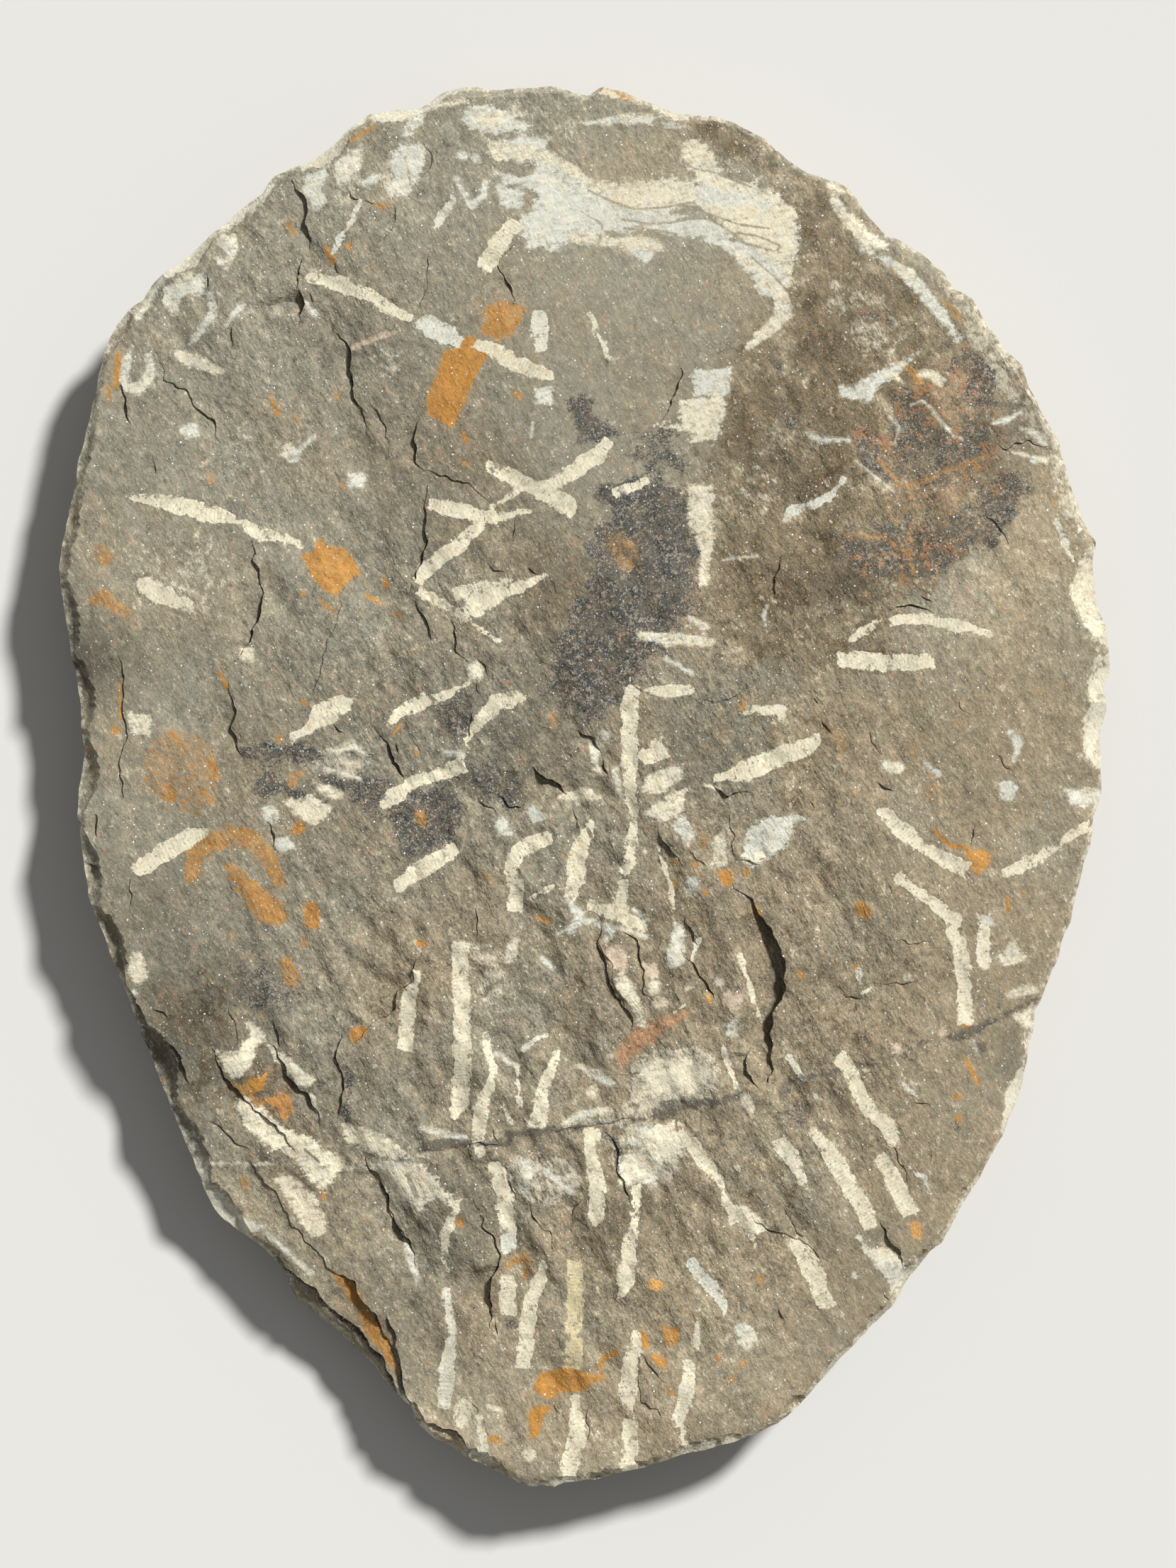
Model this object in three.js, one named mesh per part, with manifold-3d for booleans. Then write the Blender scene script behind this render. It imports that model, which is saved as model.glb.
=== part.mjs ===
// A hand-trimmed slab of micaceous shale: egg-shaped in plan, flat underneath,
// with a knapped rim, a broken lower left corner and a face that splits in thin ledges.
// Millimetres, +Z up. The slab lies on its flat back, its pointed end towards -Y,
// and the origin is at the middle of its box, on the resting plane.
import * as THREE from 'three';
import { mergeVertices } from 'three/addons/utils/BufferGeometryUtils.js';
import Module from 'manifold-3d';

// ---------------------------------------------------------------- driving dimensions, mm

const slabLength = 290; // from the blunt end to the pointed end, along Y
const slabThickness = 20; // from the resting plane to the middle of the face
const faceGrid = 6.6; // spacing of the face's own points
const cutLift = 6; // how far every cutting solid stands above the face
const stoneColour = 0x8a8172;

// ---------------------------------------------------------------- plan of the slab

// The plan is drawn on a survey grid, x to the right and y down the slab, in grid units.
// Its length gives the scale: the pointed end is at the largest y.
const planOutline = [
  // blunt end, left to right
  [388, 247], [411, 239], [436, 229], [467, 207], [480, 195], [499, 178], [521, 163], [563, 156],
  [592, 154], [613, 139], [630, 130], [659, 122], [700, 128], [737, 125], [786, 122], [818, 134],
  [829, 136], [848, 124], [882, 132], [928, 151], [958, 163], [1004, 165], [1031, 174], [1077, 197],
  // upper right, down to the widest point
  [1101, 220], [1139, 245], [1185, 259], [1198, 268], [1221, 301], [1253, 335], [1270, 339],
  [1300, 360], [1332, 385], [1347, 408], [1373, 423], [1386, 449], [1413, 489], [1442, 516],
  [1451, 546], [1473, 587], [1492, 622], [1505, 668], [1528, 735], [1546, 768], [1541, 800],
  [1548, 854], [1560, 887], [1566, 948], [1555, 970], [1561, 1003], [1552, 1034], [1552, 1121],
  // lower right
  [1541, 1153], [1538, 1189], [1523, 1235], [1509, 1300], [1497, 1327], [1489, 1359], [1470, 1403],
  [1461, 1424], [1455, 1457], [1445, 1516], [1432, 1557], [1411, 1605], [1378, 1668], [1354, 1703],
  [1340, 1731], [1328, 1751], [1311, 1766], [1284, 1800], [1260, 1841], [1220, 1881], [1198, 1903],
  [1167, 1937], [1131, 1980], [1098, 2008], [1063, 2024], [1028, 2035],
  // pointed end
  [971, 2050], [928, 2064], [879, 2077], [841, 2086], [789, 2093], [782, 2097], [745, 2096],
  [710, 2081], [667, 2062], [634, 2043], [615, 2034], [587, 2009],
  // broken lower left corner
  [578, 1985], [556, 1966], [526, 1932], [501, 1905], [478, 1886], [449, 1862], [419, 1838],
  [405, 1814], [402, 1800], [383, 1778], [371, 1762], [344, 1743], [314, 1724],
  // left side, up to the blunt end
  [299, 1706], [287, 1678], [257, 1605], [233, 1543], [200, 1462], [167, 1373], [125, 1268],
  [117, 1205], [109, 1151], [110, 1116], [119, 1062], [117, 1035], [109, 965], [97, 905],
  [88, 843], [83, 796], [90, 765], [98, 716], [108, 684], [111, 651], [126, 595], [146, 500],
  [165, 459], [182, 438], [202, 422], [215, 401], [230, 388], [267, 365], [284, 346], [310, 323],
  [334, 300], [360, 281], [371, 274], [379, 257],
];

const planX = planOutline.map((point) => point[0]);
const planY = planOutline.map((point) => point[1]);
const planCentreX = (Math.min(...planX) + Math.max(...planX)) / 2;
const planCentreY = (Math.min(...planY) + Math.max(...planY)) / 2;
const planScale = slabLength / (Math.max(...planY) - Math.min(...planY));

// From the survey grid to millimetres about the slab's middle, with y turned up.
const toSlab = ([x, y]) =>
  new THREE.Vector2((x - planCentreX) * planScale, (planCentreY - y) * planScale);

const outline = planOutline.map(toSlab).reverse(); // counter-clockwise seen from above

// Repeatable scatter between 0 and 1 for the n-th stroke of the trimming hammer.
const scatter = (n, salt = 0) => {
  const value = Math.sin(n * 12.9898 + salt * 78.233) * 43758.5453;
  return value - Math.floor(value);
};

// ---------------------------------------------------------------- height of the face

// Broad swells and hollows of the bedding plane: middle and reach on the grid, rise in mm.
const swells = [
  { at: [430, 1800], reach: 330, rise: -4.2 }, // the face falls to the broken corner
  { at: [880, 470], reach: 260, rise: 0.9 },
  { at: [260, 640], reach: 220, rise: -1.3 },
  { at: [520, 960], reach: 200, rise: 0.7 },
  { at: [1250, 1150], reach: 300, rise: 0.9 },
  { at: [1180, 1880], reach: 220, rise: -1.4 },
  { at: [1480, 760], reach: 200, rise: -0.8 },
  { at: [880, 920], reach: 130, rise: -0.6 },
  { at: [640, 2040], reach: 130, rise: -1.2 },
].map(({ at, reach, rise }) => ({ at: toSlab(at), reach: reach * planScale, rise }));

const grainDirection = new THREE.Vector2(0.86, 0.51); // across the steep splintery grain
const grainWave = { rise: 0.35, length: 74 }; // mm
const crossWave = { rise: 0.3, length: 118 };

function faceHeight(point) {
  let height = slabThickness;
  for (const swell of swells) {
    const away = point.distanceTo(swell.at) / swell.reach;
    height += swell.rise * Math.exp(-away * away);
  }
  const grain = 2 * Math.PI * point.dot(grainDirection) / grainWave.length;
  const cross = 2 * Math.PI * (point.y - 0.4 * point.x) / crossWave.length;
  return height + grainWave.rise * Math.sin(grain) + crossWave.rise * Math.sin(cross + 1.3);
}

// ---------------------------------------------------------------- meshes to solids and back

const wasm = await Module();
wasm.setup();

function solidFrom(geometry) {
  geometry.deleteAttribute('normal');
  geometry.deleteAttribute('uv');
  const merged = mergeVertices(geometry, 1e-4);
  return new wasm.Manifold(new wasm.Mesh({
    numProp: 3,
    vertProperties: new Float32Array(merged.attributes.position.array),
    triVerts: new Uint32Array(merged.index.array),
  }));
}

function geometryFrom(solid) {
  const mesh = solid.getMesh();
  const geometry = new THREE.BufferGeometry();
  geometry.setAttribute('position', new THREE.BufferAttribute(mesh.vertProperties.slice(), 3));
  geometry.setIndex(new THREE.BufferAttribute(mesh.triVerts.slice(), 1));
  return geometry;
}

// A closed skin over rings of points, each ring counter-clockwise and above the last one.
function loftGeometry(rings) {
  const count = rings[0].length;
  const positions = rings.flat().flatMap((point) => [point.x, point.y, point.z]);
  const index = [];
  for (let ring = 0; ring < rings.length - 1; ring += 1) {
    for (let i = 0; i < count; i += 1) {
      const next = (i + 1) % count;
      const low = ring * count;
      const high = low + count;
      index.push(low + i, low + next, high + next, low + i, high + next, high + i);
    }
  }
  const cap = (ring) => THREE.ShapeUtils.triangulateShape(
    ring.map((point) => new THREE.Vector2(point.x, point.y)), []);
  const top = (rings.length - 1) * count;
  cap(rings[0]).forEach(([a, b, c]) => index.push(c, b, a));
  cap(rings.at(-1)).forEach(([a, b, c]) => index.push(top + a, top + b, top + c));
  const geometry = new THREE.BufferGeometry();
  geometry.setAttribute('position', new THREE.Float32BufferAttribute(positions, 3));
  geometry.setIndex(index);
  return geometry;
}

// ---------------------------------------------------------------- knapped rim

const outwardAt = (i) => {
  const count = outline.length;
  const before = outline[(i + count - 2) % count];
  const after = outline[(i + 2) % count];
  return new THREE.Vector2(after.y - before.y, before.x - after.x).normalize();
};
const outward = outline.map((_, i) => outwardAt(i));

// The side breaks in laminae, each with a ragged edge of its own. A lamina gives its two
// heights, how far it lies inside the plan, how much that varies along the rim, and how
// far its lower joint wavers up and down.
// The fourth one is the widest: it gives the plan its outline.
const laminae = [
  { from: 0, to: 2.9, inset: 2.2, uneven: 3.6, waver: 0 },
  { from: 3.1, to: 7.6, inset: 1.0, uneven: 3.0, waver: 1.9 },
  { from: 7.9, to: 12.4, inset: 0.2, uneven: 2.0, waver: 3.2 },
  { from: 12.9, to: 17.0, inset: 0, uneven: 0.15, waver: 1.5 },
  { from: 17.7, to: 20.4, inset: 0.5, uneven: 0.9, waver: 0 },
  { from: 21.8, to: slabThickness + cutLift, inset: 2.6, uneven: 0.6, waver: 0 },
];
const raggedLengths = 34; // how many ragged stretches one turn of the rim has
const chamferShare = 0.25; // how much more of it the upper edge of a lamina loses

// Uneven edge of one lamina at outline point i, between 0 and 1, smooth from stretch to stretch.
function ragged(i, lamina) {
  const along = i * raggedLengths / outline.length;
  const stretch = Math.floor(along);
  const start = scatter(stretch, lamina);
  const end = scatter((stretch + 1) % raggedLengths, lamina);
  return 0.85 * THREE.MathUtils.lerp(start, end, along - stretch) + 0.15 * scatter(i, 30 + lamina);
}

function rimSolid() {
  const ringAt = (height, inside) => outline.map((point, i) => new THREE.Vector3(
    point.x - outward[i].x * inside(i), point.y - outward[i].y * inside(i), height(i)));
  const joint = (lamina, i) => (laminae[lamina]?.waver ?? 0) * (ragged(i, 50 + lamina) - 0.5);
  const rings = laminae.flatMap(({ from, to, inset, uneven }, lamina) => {
    const inside = (i) => inset + uneven * ragged(i, lamina);
    const worn = (i) => inside(i) + chamferShare * uneven * scatter(i, 40);
    return [
      ringAt((i) => from + joint(lamina, i), inside),
      ringAt((i) => to + joint(lamina + 1, i), worn),
    ];
  });
  return solidFrom(loftGeometry(rings));
}

// ---------------------------------------------------------------- bedding face

function faceSolid() {
  const width = (Math.max(...planX) - Math.min(...planX)) * planScale + 2 * faceGrid;
  const length = slabLength + 2 * faceGrid;
  const block = new THREE.BoxGeometry(
    width, length, 2, Math.round(width / faceGrid), Math.round(length / faceGrid), 1);
  const position = block.attributes.position;
  for (let i = 0; i < position.count; i += 1) {
    const isTop = position.getZ(i) > 0;
    const point = new THREE.Vector2(position.getX(i), position.getY(i));
    position.setZ(i, isTop ? faceHeight(point) : -cutLift);
  }
  return solidFrom(block);
}

// ---------------------------------------------------------------- ledges of the face

// A ledge is a line on the face. Its lower side, towards the given compass angle
// (0 = +X, 90 = +Y), drops straight down at the line. From there the floor rises and
// meets the face again at `reach`, or falls on to `farDrop` where the edge is broken off.
const ledges = [
  // upper left
  { line: [[410, 256], [422, 276], [437, 305], [438, 322], [436, 350]], toward: 195, drop: 0.9, reach: 7 },
  { line: [[426, 366], [418, 392], [418, 411], [425, 449], [423, 465]], toward: 190, drop: 1.0, reach: 7 },
  { line: [[218, 494], [233, 535], [276, 578], [303, 603], [312, 632]], toward: 222, drop: 1.3, reach: 10 },
  { line: [[606, 356], [603, 384], [593, 436]], toward: 185, drop: 0.7, reach: 6 },
  { line: [[726, 338], [705, 373], [716, 400], [730, 434]], toward: 180, drop: 1.0, reach: 8 },
  { line: [[470, 466], [495, 505], [498, 560], [516, 603], [521, 632]], toward: 200, drop: 1.1, reach: 9 },
  { line: [[589, 590], [587, 651], [597, 664]], toward: 190, drop: 0.9, reach: 6 },
  { line: [[596, 666], [645, 674], [692, 709]], toward: 262, drop: 0.6, reach: 6 },
  { line: [[600, 682], [602, 760], [582, 824], [573, 843]], toward: 185, drop: 0.8, reach: 7 },
  { line: [[168, 534], [175, 562], [180, 598]], toward: 180, drop: 0.8, reach: 5 },
  { line: [[636, 878], [641, 908], [660, 938]], toward: 205, drop: 0.6, reach: 5 },
  // left side
  { line: [[356, 758], [365, 803], [355, 884], [338, 930], [319, 948]], toward: 190, drop: 1.1, reach: 9 },
  { line: [[320, 950], [330, 986], [329, 1030], [343, 1079]], toward: 187, drop: 0.9, reach: 8 },
  { line: [[167, 926], [175, 1003], [173, 1095], [188, 1174]], toward: 180, drop: 1.4, reach: 10, farDrop: 0.6 },
  { line: [[168, 1168], [179, 1235], [165, 1288]], toward: 180, drop: 1.0, reach: 8, farDrop: 0.5 },
  { line: [[585, 848], [606, 884], [611, 907]], toward: 200, drop: 0.7, reach: 6 },
  { line: [[479, 836], [472, 886], [440, 980]], toward: 190, drop: 0.8, reach: 6 },
  { line: [[530, 1028], [548, 1054], [570, 1100]], toward: 205, drop: 0.9, reach: 6 },
  { line: [[748, 1080], [778, 1103], [806, 1120]], toward: 238, drop: 1.3, reach: 6 },
  { line: [[816, 1026], [837, 1043], [858, 1096]], toward: 215, drop: 0.8, reach: 6 },
  { line: [[374, 1156], [382, 1178], [391, 1205]], toward: 200, drop: 0.6, reach: 5 },
  { line: [[675, 1118], [688, 1134], [702, 1158]], toward: 215, drop: 0.6, reach: 5 },
  // middle and right
  { line: [[966, 515], [958, 554], [930, 598]], toward: 190, drop: 0.8, reach: 7 },
  { line: [[978, 966], [1000, 986], [1035, 985], [1062, 968]], toward: 268, drop: 0.7, reach: 6 },
  { line: [[924, 1153], [936, 1192], [957, 1214]], toward: 212, drop: 0.7, reach: 6 },
  { line: [[1002, 1100], [1028, 1122], [1063, 1120]], toward: 262, drop: 1.1, reach: 6 },
  { line: [[968, 1200], [988, 1213], [1007, 1228]], toward: 240, drop: 0.6, reach: 5 },
  { line: [[1031, 1128], [1034, 1176], [1033, 1214]], toward: 183, drop: 0.7, reach: 5 },
  { line: [[1097, 785], [1100, 812], [1087, 852]], toward: 185, drop: 0.7, reach: 6 },
  { line: [[1384, 719], [1403, 742], [1429, 780]], toward: 222, drop: 0.6, reach: 7 },
  { line: [[1398, 620], [1440, 632], [1482, 636]], toward: 265, drop: 0.8, reach: 7 },
  { line: [[1250, 860], [1289, 857], [1312, 863]], toward: 265, drop: 0.8, reach: 6 },
  { line: [[1009, 1232], [1050, 1300], [1082, 1330], [1096, 1400], [1087, 1470], [1083, 1536]],
    toward: 195, drop: 1.3, reach: 9 },
  { line: [[966, 1296], [979, 1335]], toward: 200, drop: 0.8, reach: 5 },
  { line: [[970, 1354], [1001, 1384], [1009, 1410]], toward: 212, drop: 0.9, reach: 6 },
  { line: [[842, 1296], [854, 1354], [864, 1405], [886, 1430], [893, 1464]], toward: 193, drop: 1.3, reach: 9 },
  { line: [[880, 1312], [901, 1351], [922, 1413]], toward: 200, drop: 0.8, reach: 5 },
  { line: [[1060, 1473], [1052, 1494], [1067, 1534]], toward: 190, drop: 1.4, reach: 5 },
  { line: [[1237, 1387], [1262, 1388], [1290, 1384]], toward: 265, drop: 0.6, reach: 5 },
  { line: [[1262, 1325], [1285, 1330], [1317, 1326]], toward: 262, drop: 0.6, reach: 5 },
  // lower part
  { line: [[592, 1336], [579, 1381], [548, 1432], [498, 1475]], toward: 150, drop: 0.9, reach: 8 },
  { line: [[476, 1455], [481, 1511], [480, 1585]], toward: 183, drop: 1.0, reach: 10 },
  { line: [[299, 1480], [326, 1535], [357, 1562], [422, 1622]], toward: 222, drop: 1.4, reach: 11 },
  { line: [[366, 1463], [395, 1497], [437, 1546], [454, 1590]], toward: 218, drop: 1.3, reach: 11 },
  { line: [[386, 1444], [387, 1460], [391, 1480]], toward: 185, drop: 0.7, reach: 5 },
  { line: [[296, 1579], [338, 1613], [376, 1640]], toward: 232, drop: 0.8, reach: 7 },
  { line: [[665, 1432], [668, 1465], [668, 1503]], toward: 3, drop: 0.6, reach: 4 },
  { line: [[848, 1594], [869, 1611], [874, 1660], [894, 1708]], toward: 188, drop: 0.8, reach: 6 },
  { line: [[745, 1700], [764, 1724], [781, 1760]], toward: 215, drop: 0.7, reach: 6 },
  { line: [[517, 1634], [540, 1670], [556, 1711], [575, 1751], [590, 1785]], toward: 203, drop: 1.6, reach: 13 },
  { line: [[672, 1695], [694, 1743], [701, 1780], [692, 1808], [691, 1876]], toward: 180, drop: 1.5, reach: 6 },
  { line: [[901, 1896], [901, 1960], [917, 1986], [937, 1999]], toward: 225, drop: 0.9, reach: 6 },
  { line: [[1060, 1711], [1112, 1742], [1144, 1757], [1157, 1777]], toward: 238, drop: 1.0, reach: 6 },
  { line: [[1107, 1704], [1117, 1725], [1127, 1747]], toward: 205, drop: 0.7, reach: 4 },
  { line: [[823, 1986], [828, 2010], [830, 2035]], toward: 183, drop: 0.6, reach: 4 },
  { line: [[1253, 1614], [1270, 1632], [1282, 1675]], toward: 210, drop: 0.7, reach: 4 },
  { line: [[1240, 1720], [1257, 1743], [1274, 1788]], toward: 205, drop: 0.8, reach: 5 },
  // the rim's own long scars and the broken corner
  { line: [[158, 1310], [175, 1365], [186, 1403], [214, 1443], [246, 1476], [268, 1528]],
    toward: 205, drop: 2.0, reach: 9, farDrop: 4.2 },
  { line: [[338, 1612], [371, 1662], [406, 1716], [435, 1754], [480, 1801], [507, 1827], [534, 1873],
    [556, 1916], [564, 1942]], toward: 222, drop: 2.4, reach: 17, farDrop: 6.5 },
  { line: [[372, 1748], [409, 1788], [440, 1806], [462, 1846], [501, 1878], [540, 1930], [580, 1990]],
    toward: 228, drop: 4.2, reach: 12, farDrop: 13 },
  { line: [[546, 1855], [561, 1908], [575, 1965], [582, 1992]], toward: 205, drop: 2.0, reach: 7, farDrop: 5 },
  { line: [[584, 2003], [645, 2022], [668, 2066]], toward: 240, drop: 1.0, reach: 9, farDrop: 5 },
];

const endShare = 0.2; // how much of the drop is left at a ledge's two ends

function ledgeCutter({ line, toward, drop, reach, farDrop = -0.25 }) {
  const angle = THREE.MathUtils.degToRad(toward);
  const lowerSide = new THREE.Vector2(Math.cos(angle), Math.sin(angle));
  const above = slabThickness + cutLift;
  const path = line.map(toSlab);
  const positions = path.flatMap((point, i) => {
    const isEnd = i === 0 || i === path.length - 1;
    const near = isEnd ? endShare * drop : drop;
    const far = isEnd && farDrop > 0 ? endShare * farDrop : farDrop;
    const out = point.clone().addScaledVector(lowerSide, isEnd && farDrop < 0 ? 0.4 * reach : reach);
    const face = faceHeight(point);
    return [
      point.x, point.y, above, point.x, point.y, face - near,
      out.x, out.y, Math.min(face, faceHeight(out)) - far, out.x, out.y, above,
    ];
  });
  const index = [0, 1, 2, 0, 2, 3];
  for (let i = 0; i < path.length - 1; i += 1) {
    for (let side = 0; side < 4; side += 1) {
      const a = i * 4 + side;
      const b = i * 4 + ((side + 1) % 4);
      index.push(a, a + 4, b + 4, a, b + 4, b);
    }
  }
  const last = (path.length - 1) * 4;
  index.push(last, last + 2, last + 1, last, last + 3, last + 2);
  const geometry = new THREE.BufferGeometry();
  geometry.setAttribute('position', new THREE.Float32BufferAttribute(positions, 3));
  geometry.setIndex(index);
  const cutter = solidFrom(geometry);
  if (cutter.volume() > 0) return cutter;
  const turned = geometry.clone();
  turned.setIndex(index.toReversed());
  return solidFrom(turned);
}

// ---------------------------------------------------------------- hammer scars along the rim

const scarCount = 24;
const scarsBelowTop = 17; // scars on the side stop here, so the plan keeps its outline

// A flat-faced bite out of the side, where the hammer took a flake.
function sideScar(n) {
  const i = Math.floor((n + 0.6 * scatter(n, 11)) * outline.length / scarCount) % outline.length;
  const across = 10 + 9 * scatter(n, 12);
  const deep = 8 + 3 * scatter(n, 13);
  const tall = 7 + 4 * scatter(n, 14);
  const bite = 3.2 + 1.6 * scatter(n, 15);
  const bowl = new THREE.IcosahedronGeometry(1, 0);
  bowl.rotateY(Math.PI * scatter(n, 17));
  bowl.scale(across, deep, tall);
  bowl.rotateZ(Math.atan2(outward[i].y, outward[i].x) - Math.PI / 2);
  const centre = outline[i].clone().addScaledVector(outward[i], deep - bite);
  bowl.translate(centre.x, centre.y, scarsBelowTop - tall * (1 + 0.7 * scatter(n, 16)));
  return solidFrom(bowl);
}

// Chips off the upper edge: place on the grid, half length along the edge, and bite in mm.
const edgeChips = [
  { at: [455, 215], half: 9, bite: 1.7 }, { at: [585, 156], half: 9, bite: 1.3 },
  { at: [680, 126], half: 10, bite: 1.6 }, { at: [950, 160], half: 8, bite: 1.4 },
  { at: [1060, 190], half: 9, bite: 1.7 }, { at: [1175, 262], half: 7, bite: 1.5 },
  { at: [1285, 352], half: 8, bite: 1.4 }, { at: [1360, 420], half: 8, bite: 1.5 },
  { at: [1543, 850], half: 12, bite: 2.0 }, { at: [1556, 1010], half: 10, bite: 2.0 },
  { at: [1545, 1125], half: 7, bite: 1.3 }, { at: [1458, 1435], half: 7, bite: 1.6 },
  { at: [1435, 1545], half: 8, bite: 1.5 }, { at: [1275, 1815], half: 9, bite: 1.6 },
  { at: [800, 2090], half: 6, bite: 1.1 }, { at: [680, 2066], half: 7, bite: 1.8 },
  { at: [320, 1728], half: 9, bite: 1.9 }, { at: [245, 1575], half: 9, bite: 1.5 },
  { at: [112, 1190], half: 10, bite: 1.5 }, { at: [92, 860], half: 9, bite: 1.5 },
  { at: [112, 650], half: 8, bite: 1.4 }, { at: [160, 475], half: 9, bite: 1.8 },
  { at: [250, 378], half: 8, bite: 1.6 }, { at: [345, 292], half: 8, bite: 1.6 },
];

function edgeChip({ at, half, bite }, n) {
  const place = toSlab(at);
  const nearest = outline.reduce((best, point, i) => (
    point.distanceTo(place) < outline[best].distanceTo(place) ? i : best), 0);
  const bowl = new THREE.IcosahedronGeometry(1, 1);
  bowl.scale(half, 6, 4);
  bowl.rotateX(THREE.MathUtils.degToRad(-28 - 14 * scatter(n, 21)));
  bowl.rotateZ(Math.atan2(outward[nearest].y, outward[nearest].x) - Math.PI / 2);
  const centre = place.clone().addScaledVector(outward[nearest], 3.4 - bite);
  bowl.translate(centre.x, centre.y, faceHeight(place) + 3.2 - bite);
  return solidFrom(bowl);
}

// ---------------------------------------------------------------- the slab

function slabGeometry() {
  let solid = rimSolid().intersect(faceSolid());
  for (const ledge of ledges) solid = solid.subtract(ledgeCutter(ledge));
  for (let n = 0; n < scarCount; n += 1) solid = solid.subtract(sideScar(n));
  edgeChips.forEach((chip, n) => {
    solid = solid.subtract(edgeChip(chip, n));
  });
  const geometry = geometryFrom(solid);
  geometry.computeBoundingBox();
  const { min, max } = geometry.boundingBox;
  geometry.translate(-(min.x + max.x) / 2, -(min.y + max.y) / 2, -min.z);
  geometry.computeVertexNormals();
  return geometry;
}

const stone = new THREE.MeshStandardMaterial({ color: stoneColour, roughness: 0.85, metalness: 0 });
stone.flatShading = true;

const slab = new THREE.Mesh(slabGeometry(), stone);
slab.name = 'slab';

const group = new THREE.Group();
group.add(slab);

export default group;
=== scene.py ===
# %% [markdown]
# A slab of grey-brown micaceous shale, trimmed with a hammer to the shape of an egg.
# Its split face carries dozens of cream, finely ribbed rods, white bruises, rust spots,
# dark stains and thin ledges. The lesson builds it as one mesh whose points know which
# mark they lie on, and one material that reads those marks. The first cell loads the
# imported solid, keeps its box and prints its size; the visible stone's size is
# printed at the end.

# %% Load the imported solid
import math

import bpy
import numpy as np
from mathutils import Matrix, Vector
from mathutils.geometry import delaunay_2d_cdt


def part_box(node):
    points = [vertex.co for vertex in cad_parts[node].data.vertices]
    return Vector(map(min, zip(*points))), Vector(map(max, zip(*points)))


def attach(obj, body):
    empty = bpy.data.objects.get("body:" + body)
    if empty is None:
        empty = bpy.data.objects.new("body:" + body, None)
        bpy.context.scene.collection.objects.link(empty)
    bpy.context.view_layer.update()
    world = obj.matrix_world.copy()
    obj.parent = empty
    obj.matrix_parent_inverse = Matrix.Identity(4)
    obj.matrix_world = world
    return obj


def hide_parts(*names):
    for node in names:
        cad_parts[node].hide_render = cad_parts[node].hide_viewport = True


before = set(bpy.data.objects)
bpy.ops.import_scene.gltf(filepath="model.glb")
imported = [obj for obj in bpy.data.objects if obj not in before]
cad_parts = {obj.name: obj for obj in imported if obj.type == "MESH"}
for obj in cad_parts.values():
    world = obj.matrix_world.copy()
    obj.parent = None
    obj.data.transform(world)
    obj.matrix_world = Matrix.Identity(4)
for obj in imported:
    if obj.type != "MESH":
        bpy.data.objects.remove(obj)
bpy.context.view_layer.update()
slab_low, slab_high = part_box("slab")
print("solid slab, metres:", [round(high - low, 4) for low, high in zip(slab_low, slab_high)])

# %% [markdown]
# Everything on the face is placed on a survey grid, x to the right and y down the slab,
# as an archaeologist would draw it. The slab's real length, 290 mm, turns grid units
# into millimetres about its middle. The plan below is the slab's outline on that grid.

# %% The survey grid and the outline
SLAB_LENGTH = 290.0  # mm
SLAB_THICKNESS = 20.0  # mm, from the resting plane to the middle of the face
GRID_TOP, GRID_BOTTOM = 122, 2097  # the two ends of the slab on the grid
GRID_LEFT, GRID_RIGHT = 83, 1566
GRID_SCALE = SLAB_LENGTH / (GRID_BOTTOM - GRID_TOP)
GRID_MIDDLE = np.array([(GRID_LEFT + GRID_RIGHT) / 2, (GRID_TOP + GRID_BOTTOM) / 2])
GRID_SIGNS = np.array([GRID_SCALE, -GRID_SCALE])

OUTLINE = [
    (388,247), (411,239), (436,229), (467,207), (480,195), (499,178), (521,163), (563,156), (592,154),
    (613,139), (630,130), (659,122), (700,128), (737,125), (786,122), (818,134), (829,136), (848,124),
    (882,132), (928,151), (958,163), (1004,165), (1031,174), (1077,197), (1101,220), (1139,245), (1185,259),
    (1198,268), (1221,301), (1253,335), (1270,339), (1300,360), (1332,385), (1347,408), (1373,423),
    (1386,449), (1413,489), (1442,516), (1451,546), (1473,587), (1492,622), (1505,668), (1528,735),
    (1546,768), (1541,800), (1548,854), (1560,887), (1566,948), (1555,970), (1561,1003), (1552,1034),
    (1552,1121), (1541,1153), (1538,1189), (1523,1235), (1509,1300), (1497,1327), (1489,1359), (1470,1403),
    (1461,1424), (1455,1457), (1445,1516), (1432,1557), (1411,1605), (1378,1668), (1354,1703), (1340,1731),
    (1328,1751), (1311,1766), (1284,1800), (1260,1841), (1220,1881), (1198,1903), (1167,1937), (1131,1980),
    (1098,2008), (1063,2024), (1028,2035), (971,2050), (928,2064), (879,2077), (841,2086), (789,2093),
    (782,2097), (745,2096), (710,2081), (667,2062), (634,2043), (615,2034), (587,2009), (578,1985),
    (556,1966), (526,1932), (501,1905), (478,1886), (449,1862), (419,1838), (405,1814), (402,1800),
    (383,1778), (371,1762), (344,1743), (314,1724), (299,1706), (287,1678), (257,1605), (233,1543),
    (200,1462), (167,1373), (125,1268), (117,1205), (109,1151), (110,1116), (119,1062), (117,1035),
    (109,965), (97,905), (88,843), (83,796), (90,765), (98,716), (108,684), (111,651), (126,595), (146,500),
    (165,459), (182,438), (202,422), (215,401), (230,388), (267,365), (284,346), (310,323), (334,300),
    (360,281), (371,274), (379,257),
]


def on_slab(points):
    """Grid points as millimetres about the middle of the slab, y turned up."""
    return (np.array([point[:2] for point in points], float) - GRID_MIDDLE) * GRID_SIGNS


plan = on_slab(OUTLINE)[::-1]  # counter-clockwise from above
print("plan, mm:", np.ptp(plan, axis=0).round(1), "from", len(plan), "points")

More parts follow.
